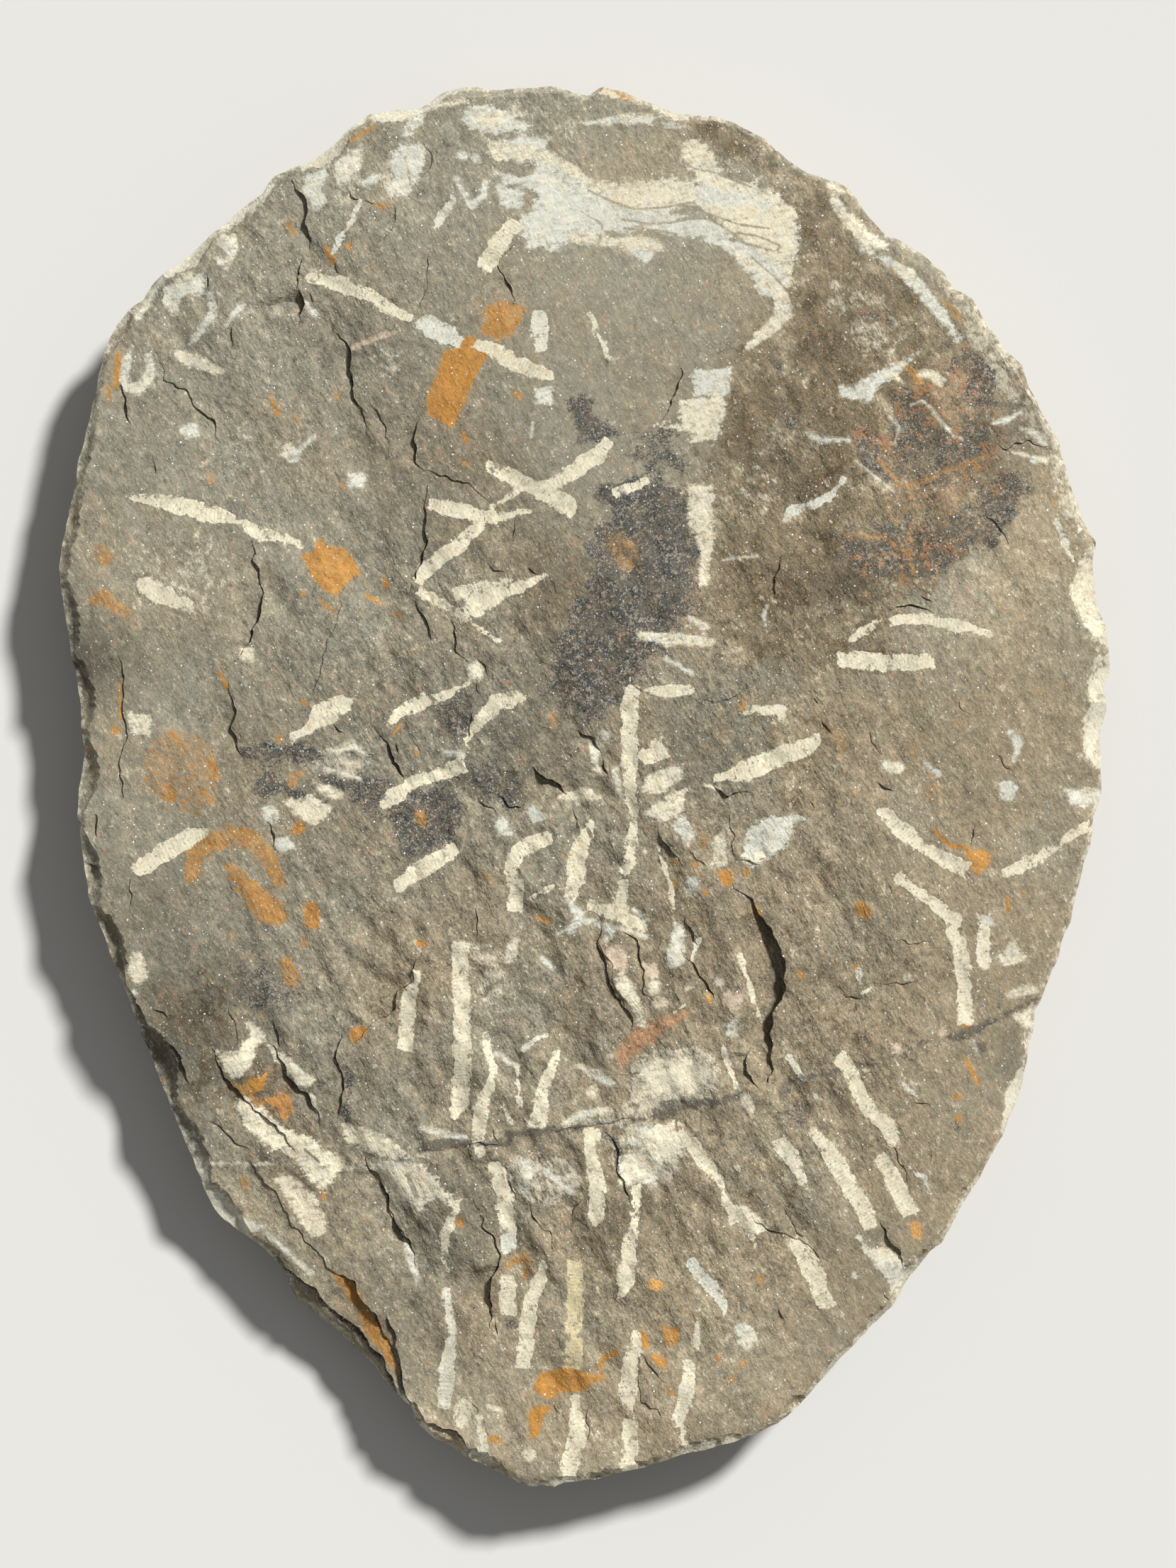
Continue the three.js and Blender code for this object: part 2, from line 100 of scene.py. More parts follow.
# %% [markdown]
# Stone is rough at every size. A small seeded table of random heights, blended between
# its cells and added to itself at smaller and smaller sizes, gives the same roughness
# each run. Stretching it along one direction gives the splintery grain of shale.

# %% Roughness from seeded tables
TABLE = 64
GRAIN_ANGLE = math.radians(121)  # the grain runs from upper left to lower right, steeply


def lattice(x, y, seed):
    """Smooth noise between -1 and 1 with one cell a unit."""
    table = np.random.default_rng(seed).uniform(-1, 1, (TABLE, TABLE))
    column, row = np.floor(x).astype(int), np.floor(y).astype(int)
    across, up = x - column, y - row
    across = across ** 3 * (across * (across * 6 - 15) + 10)
    up = up ** 3 * (up * (up * 6 - 15) + 10)
    column, row = column % TABLE, row % TABLE
    right, above = (column + 1) % TABLE, (row + 1) % TABLE
    low = table[row, column] * (1 - across) + table[row, right] * across
    high = table[above, column] * (1 - across) + table[above, right] * across
    return low * (1 - up) + high * up


def roughness(points, size, seed, octaves=3, stretch=1.0, angle=GRAIN_ANGLE):
    """Layered noise, one cell `size` mm wide across the grain and `stretch` times it along."""
    along = points @ np.array([math.cos(angle), math.sin(angle)]) / (size * stretch)
    across = points @ np.array([-math.sin(angle), math.cos(angle)]) / size
    total = np.zeros(len(points))
    for octave in range(octaves):
        step = 2.0 ** octave
        turned = across * 0.8 + along * 0.6
        total += lattice(along * step + 7.3 * octave, (across + 0.1 * turned) * step, seed + octave) / step
    return total / 1.5


def smooth(values, low, high):
    """0 below low, 1 above high, and an easy slope between."""
    part = np.clip((values - low) / (high - low), 0, 1)
    return part * part * (3 - 2 * part)


def scatter(count, seed, low=0.0, high=1.0):
    return np.random.default_rng(seed).uniform(low, high, count)


spread = roughness(np.random.default_rng(1).uniform(-90, 90, (5000, 2)), 8, 3).std()
print("roughness spread:", spread.round(3))

# %% [markdown]
# The cream rods are the slab's most striking marks: thin cylinders, pressed flat, with
# fine ribs across them. Each is a centre line on the grid with a width at every point,
# and a tone: 0 is bluish white, 0.5 is cream, 1 is yellow. A thin white scratch is
# written in the same way. They are only colour and a very shallow groove.

# %% Rods: tone, then centre line as x, y, width on the grid
RODS = [
    (0.5, [(727,313,24),(680,383,26)]), (0.2, [(764,440,20),(760,470,24),(764,497,16)]),
    (0.3, [(832,443,8),(860,511,8)]),
    (0.5, [(433,392,14),(480,403,22),(521,418,20),(553,438,16),(582,452,14)]),
    (0.1, [(588,455,16),(610,462,30),(632,474,26),(652,488,14)]),
    (0.5, [(668,485,14),(694,495,22),(720,510,25),(750,524,22),(782,533,12)]),
    (0.1, [(511,284,5),(495,316,9),(467,361,5)]), (0.2, [(640,278,10),(628,302,14),(613,324,8)]),
    (0.2, [(1050,482,4),(1074,500,3)]),
    (0.5, [(181,703,6),(215,705,18),(258,716,26),(300,726,26),(332,733,12)]),
    (0.5, [(330,735,10),(365,752,20),(428,768,8)]),
    (0.45, [(197,828,20),(222,838,26),(250,848,24),(273,854,8)]),
    (0.5, [(685,657,14),(715,670,22),(800,712,26),(806,728,12)]),
    (0.5, [(860,622,16),(845,640,24),(778,686,22),(737,689,9),(694,716,7)]),
    (0.5, [(603,711,16),(640,718,26),(672,728,16),(700,730,16),(752,720,5)]),
    (0.5, [(683,738,12),(656,762,20),(602,803,24),(589,822,18)]),
    (0.5, [(591,832,16),(640,862,10),(699,903,5),(724,908,4)]),
    (0.5, [(640,840,18),(680,829,18),(735,814,3)]),
    (0.5, [(662,865,28),(683,849,26),(710,835,20),(751,822,12),(772,811,5)]),
    (0.3, [(866,698,12),(890,688,16),(914,678,10)]),
    (0, [(1106,738,10),(1115,722,14),(1144,713,12),(1171,700,12),(1193,676,8)]),
    (0.5, [(1240,873,8),(1220,890,12),(1198,905,8)]),
    (0.5, [(1254,877,12),(1302,873,18),(1351,882,16),(1400,897,7)]),
    (0.45, [(1180,932,20),(1220,932,26),(1270,936,24),(1316,933,20)]), (0.2, [(1486,730,10),(1513,792,8)]),
    (0.2, [(1524,740,6),(1519,757,5)]), (0.5, [(190,1231,20),(240,1198,28),(270,1180,24),(297,1172,10)]),
    (0.45, [(410,1045,10),(440,1025,16),(455,1010,34),(480,995,30),(500,987,6)]),
    (0.5, [(548,1025,10),(565,1003,18),(600,990,22),(620,985,14),(670,960,5)]),
    (0.5, [(656,1054,6),(667,1030,14),(700,992,26),(726,984,22),(740,989,10)]),
    (0.55, [(656,1078,22),(575,1108,16),(559,1122,24),(535,1135,16)]),
    (0.5, [(558,1253,18),(600,1222,26),(645,1195,18)]),
    (0.5, [(778,1181,20),(737,1195,24),(721,1222,18),(729,1251,20),(727,1286,24)]),
    (0.5, [(839,1155,6),(824,1184,22),(813,1210,28),(812,1240,28),(803,1267,14)]),
    (0.5, [(830,1275,14),(870,1290,20),(912,1308,18)]),
    (0.5, [(892,966,23),(888,1000,24),(887,1090,22),(890,1130,17),(896,1150,10)]),
    (0.5, [(896,1148,9),(891,1180,18),(888,1215,16),(878,1234,16)]), (0.5, [(880,1240,14),(877,1290,22)]),
    (0.5, [(912,975,10),(945,975,20),(980,974,12)]), (0.4, [(915,1051,8),(928,1045,12),(940,1038,7)]),
    (0.5, [(905,1073,24),(939,1055,26)]),
    (0.5, [(1009,1099,8),(1045,1090,26),(1075,1078,32),(1101,1066,24),(1135,1055,26),(1158,1038,14)]),
    (0.4, [(1047,1008,6),(1063,1000,12),(1101,1001,16),(1101,1019,9)]),
    (0.4, [(928,1186,4),(931,1208,6),(947,1251,6),(950,1281,4)]),
    (0.4, [(1236,1144,6),(1252,1150,20),(1280,1178,24),(1300,1195,16),(1330,1212,22),(1365,1228,22)]),
    (0.5, [(1414,1233,8),(1440,1222,20),(1470,1208,16),(1490,1195,10),(1510,1178,14),(1537,1165,18)]),
    (0.5, [(1262,1235,18),(1290,1255,14),(1345,1298,22),(1338,1314,14),(1349,1324,20),(1357,1349,22),
        (1362,1444,22)]), (0.3, [(1386,1300,14),(1386,1354,22),(1394,1368,7)]),
    (0.3, [(745,1268,4),(780,1249,5)]), (0.5, [(649,1327,24),(653,1503,26),(648,1559,26),(639,1580,8)]),
    (0.4, [(589,1370,10),(580,1395,20),(575,1422,24),(572,1482,24)]),
    (0.5, [(685,1454,12),(690,1495,14),(697,1511,10),(678,1570,22),(674,1605,20),(679,1635,8)]),
    (0.2, [(710,1559,6),(718,1581,8),(726,1586,5)]), (0.2, [(730,1562,10),(740,1554,8)]),
    (0.2, [(729,1484,6),(748,1473,9),(759,1463,9),(775,1461,7)]),
    (0.3, [(730,1500,4),(729,1522,5),(733,1538,5),(729,1554,4)]),
    (0.5, [(789,1481,10),(768,1530,18),(756,1592,26)]),
    (0.5, [(691,1640,6),(700,1649,22),(705,1668,20),(713,1684,26),(716,1738,26)]),
    (0.1, [(716,1738,24),(718,1770,20)]), (0.5, [(716,1797,22),(716,1857,26)]),
    (0.4, [(835,1592,22),(833,1624,18),(844,1678,26),(840,1716,20),(836,1732,6)]),
    (0.5, [(898,1670,12),(896,1724,12),(890,1743,20),(885,1795,26),(880,1819,18),(871,1832,5)]),
    (0.5, [(955,1581,6),(966,1597,18),(974,1613,20),(990,1635,22),(1015,1665,14),(1020,1684,8),
        (1028,1703,14),(1040,1722,20)]), (0.4, [(1060,1740,9),(1066,1762,5)]),
    (0.4, [(1043,1346,4),(1050,1368,8),(1073,1439,4)]), (0.5, [(1020,1473,5),(1021,1486,10),(1042,1540,7)]),
    (0.3, [(950,1430,5),(966,1416,6)]), (0.2, [(974,1357,5),(982,1332,8),(990,1321,5)]),
    (0.45, [(651,1690,7),(635,1722,14),(628,1743,14),(626,1778,8),(632,1795,5)]),
    (0.2, [(629,1816,12),(639,1886,14),(629,1930,22),(629,1951,24),(626,1986,14)]),
    (0.4, [(656,1970,16),(653,1992,24),(653,2015,20)]), (0.3, [(675,1997,8),(680,2030,14),(688,2064,12)]),
    (0.5, [(767,1778,8),(762,1803,18),(751,1830,22),(745,1862,24),(739,1932,22)]),
    (0.85, [(810,1778,20),(812,1813,22),(808,1930,26)]),
    (0.5, [(810,1967,16),(812,1981,14),(814,2024,28),(805,2062,24),(802,2091,20)]),
    (0.1, [(974,1773,10),(982,1792,16),(998,1808,20),(1012,1824,16),(1020,1840,14),(1023,1857,7)]),
    (0.3, [(982,1862,4),(982,1886,12),(982,1905,8)]),
    (0.3, [(973,1919,18),(967,1962,22),(960,1992,20),(955,2003,18),(963,2013,10),(965,2032,10),
        (969,2043,7)]),
    (0.6, [(896,1873,6),(896,1895,16),(889,1916,22),(885,1965,26),(890,1981,10),(893,1996,9)]),
    (0.5, [(889,2001,22),(888,2075,22)]), (0.2, [(1112,1486,8),(1133,1524,7)]),
    (0.1, [(1144,1538,8),(1158,1554,7)]), (0.2, [(1212,1362,8),(1212,1374,14),(1214,1388,8)]),
    (0.2, [(1212,1403,5),(1231,1392,5)]),
    (0.6, [(1181,1489,24),(1196,1505,22),(1206,1530,20),(1220,1555,22),(1249,1586,24),(1258,1603,22),
        (1257,1619,5)]), (0.3, [(1098,1605,22),(1109,1621,26),(1120,1640,22),(1138,1680,5)]),
    (0.5, [(1142,1589,6),(1155,1605,20),(1169,1624,26),(1212,1695,24),(1223,1720,24),(1228,1734,18)]),
    (0.5, [(1240,1630,18),(1254,1654,24),(1284,1712,24)]),
    (0.4, [(1262,1494,3),(1270,1508,4),(1278,1557,3)]), (0.1, [(1276,1527,5),(1292,1547,4)]),
    (0.1, [(1303,1411,5),(1321,1440,5)]), (0, [(1281,1643,4),(1292,1657,6),(1303,1659,6),(1311,1681,4)]),
    (0.55, [(1120,1745,10),(1128,1757,28),(1143,1785,30),(1167,1843,26)]),
    (0.2, [(1209,1740,8),(1228,1773,8)]),
]
print(len(RODS), "rods and scratches")

# %% [markdown]
# White bruises are where the stone was scraped or struck: a great fan of scrapes across
# the blunt end, crushed patches along the rim, and mottled pale films in the middle.
# Each is an outline on the grid, or a line with widths, with a tone as for the rods.
# Holes show the ground through them again, and hazes are a thin pale dust on the ground.

# %% Bruises: tone, then an outline of x, y or a line of x, y, width
def dots(rows):
    """Round spots, each given by its tone, x, y and width, as very short lines."""
    return [(tone, [(x - 1, y - 1, width), (x + 2, y + 2, width)]) for tone, x, y, width in rows]


BRUISES = [
    (0.05, [(762,224),(870,288),(905,298),(950,300),(985,297),(1003,308),(1040,345),(1044,368),(1009,346),
        (900,322),(870,332),(820,334),(778,357),(737,343),(735,330),(740,303),(759,280),(745,262),(700,266),
        (702,250),(740,250)]),
    (0.4, [(690,212),(720,203),(752,203),(800,236),(835,254),(870,260),(925,254),(975,255),(990,275),
        (985,290),(940,300),(905,300),(865,288),(765,228),(730,232),(695,226)]),
    (0.4, [(961,203),(977,195),(1000,208),(1010,232),(1030,255),(1090,270),(1112,285),(1126,310),(1127,343),
        (1122,380),(1113,408),(1095,395),(1060,352),(1020,327),(980,290),(982,262),(978,245),(962,228)]),
    (0.05, [(985,268),(1030,268),(1060,278),(1095,284),(1080,294),(1030,292),(985,286)]),
    (0.45, [(802,338,10),(850,340,16),(880,346,18),(905,345,28),(937,352,10)]),
    (0.1, [(1009,340),(1044,340),(1080,362),(1108,395),(1112,420),(1100,438),(1080,412)]),
    (0.1, [(884,352),(925,355),(912,378)]), (0.1, [(700,203),(740,192),(775,198),(770,212),(715,222)]),
    (0.2, [(1063,397),(1106,397),(1106,424),(1070,420)]), (0.55, [(870,160),(920,164),(918,178),(875,176)]),
    (0.2, [(933,174),(971,178),(968,185),(935,183)]), (0.5, [(820,174,4),(860,179,4)]),
    (0.25, [(186,490,7),(178,520,13),(176,545,14),(195,550,18),(213,528,17),(211,503,11)]),
    (0.4, [(244,492),(270,495),(318,521),(316,529),(262,519),(247,505)]),
    (0.1, [(254,601),(281,598),(282,616),(262,620),(251,612)]), (0.1, [(420,637,9),(444,616,6)]),
    (0.4, [(521,165,8),(591,161,8),(607,153,7),(656,144,7)]),
    (0.1, [(685,257,8),(683,278,11),(664,292,11),(644,253,10)]),
    (0.05, [(700,262),(742,270),(735,300),(706,292)]), (0.2, [(752,545),(782,545),(780,572),(755,570)]),
    (0.1, [(490,666),(517,668),(515,690),(492,689)]), (0.1, [(752,597,5),(749,618,5)]),
    (0.5, [(338,912),(360,915),(358,937),(340,930)]), (0.5, [(180,1002),(215,1008),(212,1040),(184,1036)]),
    (0.4, [(960,570),(982,562),(1025,562),(1027,572),(1012,623),(971,622),(979,613),(923,601),(928,597),
        (960,600)]), (0.15, [(975,522),(1031,519),(1028,561),(980,561)]),
    (0.55, [(970,683),(1006,683),(1006,766),(998,830),(986,830),(985,768),(970,742)]),
    (0.4, [(895,890),(960,893),(1010,900),(1005,913),(940,911),(900,904)]),
    (0.4, [(971,872,10),(996,886,12)]), (0.3, [(1020,790,5),(1068,784,5)]),
    (0.1, [(1082,854,5),(1077,870,7),(1082,892,4)]), (0.5, [(1168,262,8),(1190,272,6)]),
    (0.4, [(1216,335),(1249,338),(1246,354),(1220,351)]),
    (0.5, [(1543,768),(1524,786),(1508,840),(1530,878),(1541,908),(1562,890),(1550,854),(1543,800)]),
    (0.45, [(1565,927),(1535,970),(1531,998),(1556,975),(1568,948)]),
    (0.45, [(1553,978),(1543,989),(1528,1051),(1526,1065),(1538,1073),(1553,1040),(1563,1003)]),
    (0.15, [(1499,1112),(1554,1110),(1552,1140),(1507,1137)]),
    (0.3, [(1240,1070),(1277,1076),(1272,1093),(1245,1089)]), (0.3, [(1305,1077,9),(1324,1092,10)]),
    (0.1, [(1405,1105),(1428,1101),(1436,1114),(1428,1133),(1408,1127)]),
    (0.1, [(1424,1034,12),(1436,1046,15),(1430,1071,10)]),
    (0.4, [(660,938),(672,930),(685,946),(678,961),(661,961)]),
    (0.3, [(621,1056),(660,1060),(655,1069),(625,1067)]),
    (0.6, [(440,1100),(470,1108),(490,1118),(480,1129),(455,1122)]),
    (0.6, [(398,1130),(438,1122),(471,1140),(444,1168),(420,1150)]),
    (0.2, [(384,1184),(407,1179),(420,1197),(395,1204)]),
    (0.15, [(698,1158),(713,1150),(726,1179),(702,1180)]),
    (0.15, [(739,1137),(759,1137),(770,1155),(751,1168)]),
    (0.5, [(785,1127),(805,1112),(835,1110),(849,1127),(826,1131),(816,1141),(808,1130)]),
    (0.4, [(829,1043),(847,1054),(845,1078),(851,1102),(835,1084)]),
    (0.2, [(842,1032),(862,1030),(860,1052)]), (0.1, [(802,1270,8),(818,1292,15),(806,1314,8)]),
    (0.1, [(787,1317,6),(822,1300,10),(842,1298,6)]), (0.15, [(845,1302,10),(862,1318,12),(850,1328,6)]),
    (0.2, [(895,1282,8),(914,1297,10)]), (0.4, [(860,1086),(871,1076),(884,1137),(872,1122)]),
    (0, [(939,930,8),(977,951,8)]),
    (0.45, [(909,1097),(947,1078),(960,1078),(967,1095),(939,1117),(901,1120)]),
    (0.5, [(907,1147),(925,1131),(971,1109),(962,1150),(935,1159)]),
    (0.2, [(950,1155),(968,1150),(978,1170),(982,1180),(970,1196),(948,1165)]),
    (0.5, [(993,1107,6),(1012,1113,6)]),
    (0.15, [(1055,1168),(1079,1154),(1120,1149),(1136,1151),(1120,1165),(1117,1186),(1090,1208),(1063,1219),
        (1044,1213)]), (0.45, [(1006,1178),(1020,1173),(1024,1186),(1027,1222),(1001,1223)]),
    (0.15, [(976,1244,20),(977,1256,20)]), (0.2, [(1378,1290,7),(1390,1298,13),(1402,1306,6)]),
    (0.2, [(1386,1308,6),(1396,1288,6)]),
    (0.55, [(183,1345),(198,1339),(208,1360),(207,1385),(193,1392),(181,1372)]),
    (0.3, [(292,1676),(312,1684),(335,1712),(363,1730),(348,1744),(318,1726),(301,1706)]),
    (0.65, [(371,1737,10),(438,1797,10)]),
    (0.3, [(570,1754),(588,1784),(586,1792),(589,1811),(578,1795),(571,1773)]),
    (0.1, [(438,1842,9),(478,1880,8)]), (0.7, [(664,1349,8),(697,1351,9)]),
    (0.4, [(714,1330),(732,1322),(730,1350),(712,1362)]), (0.1, [(764,1350,8),(778,1364,9)]),
    (0.3, [(700,1486,9),(726,1502,8)]), (0.5, [(829,1530),(840,1530),(845,1543),(837,1551),(826,1543)]),
    (0.3, [(820,1504,10),(845,1518,16),(866,1530,10)]),
    (0.15, [(735,1632),(745,1635),(756,1657),(743,1670),(735,1651)]),
    (0.15, [(726,1665),(743,1676),(753,1689),(745,1692),(729,1676)]), (0.15, [(770,1652,10),(807,1682,8)]),
    (0.75, [(855,1335),(871,1334),(885,1343),(887,1368),(882,1373),(860,1365)]),
    (0.4, [(866,1381),(882,1374),(896,1384),(898,1400),(915,1449),(898,1447),(896,1430),(888,1416),
        (871,1403)]), (0.75, [(901,1357),(928,1359),(928,1378),(917,1384),(909,1376)]),
    (0.35, [(913,1383),(933,1381),(930,1405),(916,1402)]), (0.3, [(847,1303,9),(890,1313,8),(912,1322,9)]),
    (0.25, [(950,1300),(966,1305),(966,1365),(942,1365),(939,1343)]),
    (0.4, [(965,1389),(979,1386),(978,1395),(966,1400)]),
    (0.7, [(920,1410),(947,1408),(945,1422),(922,1424)]),
    (0.3, [(874,1588),(930,1586),(956,1600),(960,1624),(942,1640),(925,1640),(905,1618),(880,1612)]),
    (0.35, [(874,1630),(898,1624),(915,1638),(933,1646),(928,1673),(912,1662),(880,1673)]),
    (0.75, [(1020,1397),(1036,1395),(1050,1408),(1044,1419),(1047,1440),(1017,1416)]),
    (0.2, [(1020,1442),(1040,1440),(1041,1462),(1024,1460)]),
    (0.5, [(1042,1543),(1058,1540),(1065,1554),(1065,1584),(1044,1557)]),
    (0.5, [(1022,1698),(1058,1700),(1085,1734),(1071,1741),(1058,1740),(1033,1716)]),
    (0.4, [(689,1984,9),(707,1990,9)]), (0.15, [(667,2050,9),(694,2066,9)]),
    (0.25, [(1042,1861),(1066,1876),(1070,1892),(1052,1908),(1042,1897),(1036,1870)]),
    (0.4, [(1403,1351),(1408,1340),(1421,1338),(1424,1327),(1432,1327),(1438,1340),(1447,1349),(1440,1357),
        (1424,1366),(1413,1362)]), (0.4, [(1413,1404),(1451,1385),(1462,1392),(1465,1400),(1419,1410)]),
    (0.5, [(1424,1430),(1435,1424),(1459,1422),(1454,1446),(1440,1449)]),
    (0.1, [(1373,1467,5),(1378,1489,5)]),
    (0.35, [(1416,1543),(1424,1524),(1438,1516),(1440,1530),(1435,1549),(1423,1570),(1416,1554)]),
    (0.5, [(1270,1382),(1278,1370),(1289,1376),(1289,1384)]),
    (0.35, [(1219,1759),(1254,1759),(1273,1778),(1284,1797),(1262,1832),(1254,1808),(1227,1776)]),
    (0.45, [(300,1478),(320,1485),(335,1480),(352,1460),(345,1445),(355,1440),(375,1462),(365,1475),
        (355,1500),(340,1520),(325,1522)]),
    (0.45, [(372,1468),(392,1480),(445,1522),(440,1535),(420,1530),(385,1490)]),
    (0.4, [(440,1545,8),(450,1575,8)]),
    (0.5, [(335,1545),(350,1550),(385,1575),(400,1590),(440,1605),(490,1640),(470,1665),(460,1690),
        (420,1645),(395,1625),(370,1615),(345,1590),(330,1560)]),
    (0.62, [(395,1655),(420,1665),(445,1690),(460,1720),(458,1742),(440,1745),(420,1720),(385,1665)]),
    (0.45, [(520,1640),(590,1638),(610,1655),(625,1680),(650,1695),(640,1705),(615,1690),(600,1700),
        (590,1717),(570,1700),(565,1715)]), (0.3, [(570,1752,8),(585,1780,10),(590,1810,6)]),
    (0.15, [(270,1600,7),(300,1700,12),(330,1725,11),(370,1735,8),(440,1800,8)]),
    (0.3, [(794,1586,8),(818,1573,14),(860,1565,11)]), (0.3, [(820,1586,3),(915,1581,3)]),
    (0.15, [(590,1590,8),(655,1606,12)]), (0.3, [(490,1648,5),(586,1640,5)]),
    (0.8, [(499,492,8),(540,474,11),(559,470,5)]),
    (0.4, [(1172,262,8),(1180,290,15),(1200,315,19),(1222,338,23),(1248,348,14)]),
    (0.05, [(1215,352,6),(1255,370,10),(1275,385,18),(1300,410,20),(1350,478,12)]),
    (0.35, [(1262,374),(1288,380),(1292,398),(1268,396)]),
    (0, [(1300,497),(1258,514),(1208,540),(1180,548),(1190,565),(1230,570),(1236,552)]),
    (0.5, [(1248,526,6),(1262,530,9),(1274,542,7)]), (0.5, [(1288,528),(1310,518),(1334,534),(1330,548)]),
    (0.3, [(1255,588,4),(1268,602,5),(1262,625,4)]), (0.3, [(1285,572,4),(1300,566,5),(1312,576,4)]),
    (0.3, [(1316,582,6),(1345,616,6),(1358,620,4)]), (0.3, [(1205,650,4),(1262,695,4)]),
    (0, [(1138,612,8),(1160,622,12),(1198,622,8)]), (0.1, [(1400,598,5),(1420,593,10),(1438,582,7)]),
    (0.2, [(1440,605,6),(1458,612,11),(1474,626,9)]), (0.4, [(1428,638,6),(1475,651,10)]),
    (0.25, [(300,350),(308,335),(335,330),(334,360),(322,380),(308,375)]),
    (0.2, [(228,405),(288,385),(292,400),(285,420),(262,415),(250,450),(238,440),(228,425)]),
    (0.1, [(297,415,10),(303,440,13),(270,485,10)]), (0.1, [(342,432,12),(318,462,8)]),
    (0.1, [(430,250),(465,236),(455,270),(465,285),(448,300),(438,290),(428,270)]),
    (0.25, [(468,232),(517,202),(508,240),(485,268),(476,255)]),
    (0.15, [(552,225),(565,208),(595,205),(598,240),(588,262),(570,280),(548,275),(545,262),(560,250)]),
    (0.15, [(565,195),(575,172),(598,160),(602,168),(580,195)]),
    (0.1, [(503,262),(520,250),(538,245),(535,258),(515,270)]),
    (0.15, [(648,172),(660,152),(700,150),(760,180),(700,192),(665,185)]), (0.1, [(432,428,8),(446,445,9)]),
    (0.3, [(195,450,8),(225,400,10),(300,330,11),(368,285,10),(385,262,8)]),
    (0.2, [(400,243,6),(440,225,7),(470,205,7),(520,162,8),(600,155,7),(640,127,6)]),
    (0.5, [(190,815),(215,815),(245,830),(250,850),(278,858),(270,866),(240,858),(195,835)]),
    (0.4, [(905,1600),(950,1580),(962,1615),(940,1640),(905,1625)]),
    (0.4, [(870,1630),(900,1620),(935,1640),(925,1675),(900,1665),(875,1672)]),
    (0.3, [(1040,362,10),(1075,388,16),(1100,412,22),(1104,445,26),(1085,468,18)]),
    (0.05, [(733,303),(755,296),(780,310),(778,350),(745,352),(733,330)]),
    (0.1, [(700,245,10),(750,262,10)]), (0.45, [(693,205,10),(765,220,20),(800,238,18),(827,257,12)]),
    (0.1, [(827,176,5),(860,170,9),(900,173,9),(933,166,5)]),
    (0.3, [(470,1060,5),(500,1053,8),(520,1066,4)]), (0.3, [(460,1084,5),(490,1092,9),(508,1098,5)]),
    (0.7, [(478,1074,9),(507,1080,8)]), (0.35, [(1104,436,8),(1092,456,15),(1068,480,17),(1054,492,8)]),
    (0.5, [(902,1508),(935,1490),(980,1492),(1004,1514),(992,1538),(950,1546),(908,1542)]),
    (0.5, [(476,1584),(505,1588),(545,1603),(578,1628),(560,1636),(520,1630),(490,1612)]),
]
BRUISE_DOTS = [
    (0.3,410,639,26), (0.1,652,220,14), (0.1,672,225,13), (0.1,1456,651,11), (0.1,381,1148,25),
    (0.1,909,1200,6), (0.1,191,1400,9), (0.3,1014,1384,13), (0.6,746,2051,19), (0.8,1329,1456,14),
    (0.8,1265,1482,17), (0.1,1205,1798,9), (0.2,1290,1774,8),
]
BRUISES += dots(BRUISE_DOTS)
print(len(BRUISES), "bruises")

# %% Holes and scratches in the bruises, where the ground shows again
HOLES = [
    (0, [(697,233,6),(712,242,7),(735,247,9),(750,244,8)]),
    (0, [(955,297),(985,291),(990,298),(970,305),(955,303)]), (0, [(955,312,4),(985,308,6),(1008,310,4)]),
    (0, [(830,270,2),(865,287,3),(895,297,2),(940,294,2),(978,287,3)]),
    (0, [(878,311,3),(915,317,2),(950,315,2),(985,308,2)]), (0, [(880,324,2),(930,327,2),(955,332,2)]),
    (0, [(1003,312,3),(1025,325,3),(1050,345,3),(1100,358,2)]),
    (0, [(1040,330,2),(1070,335,2),(1100,348,2)]), (0, [(962,230,3),(980,240,2),(1010,246,2),(1060,266,2)]),
    (0, [(990,300,2),(1040,318,2),(1085,324,2)]), (0, [(1060,365,2),(1090,390,2),(1110,412,3)]),
    (0, [(820,300,1),(850,318,2),(845,345,1)]), (0, [(575,1657,6),(588,1688,7)]),
    (0, [(430,1622,4),(450,1640,3)]), (0, [(305,352,12),(316,362,10)]), (0, [(572,222,3),(580,262,3)]),
    (0, [(250,400,2),(275,396,3)]),
]

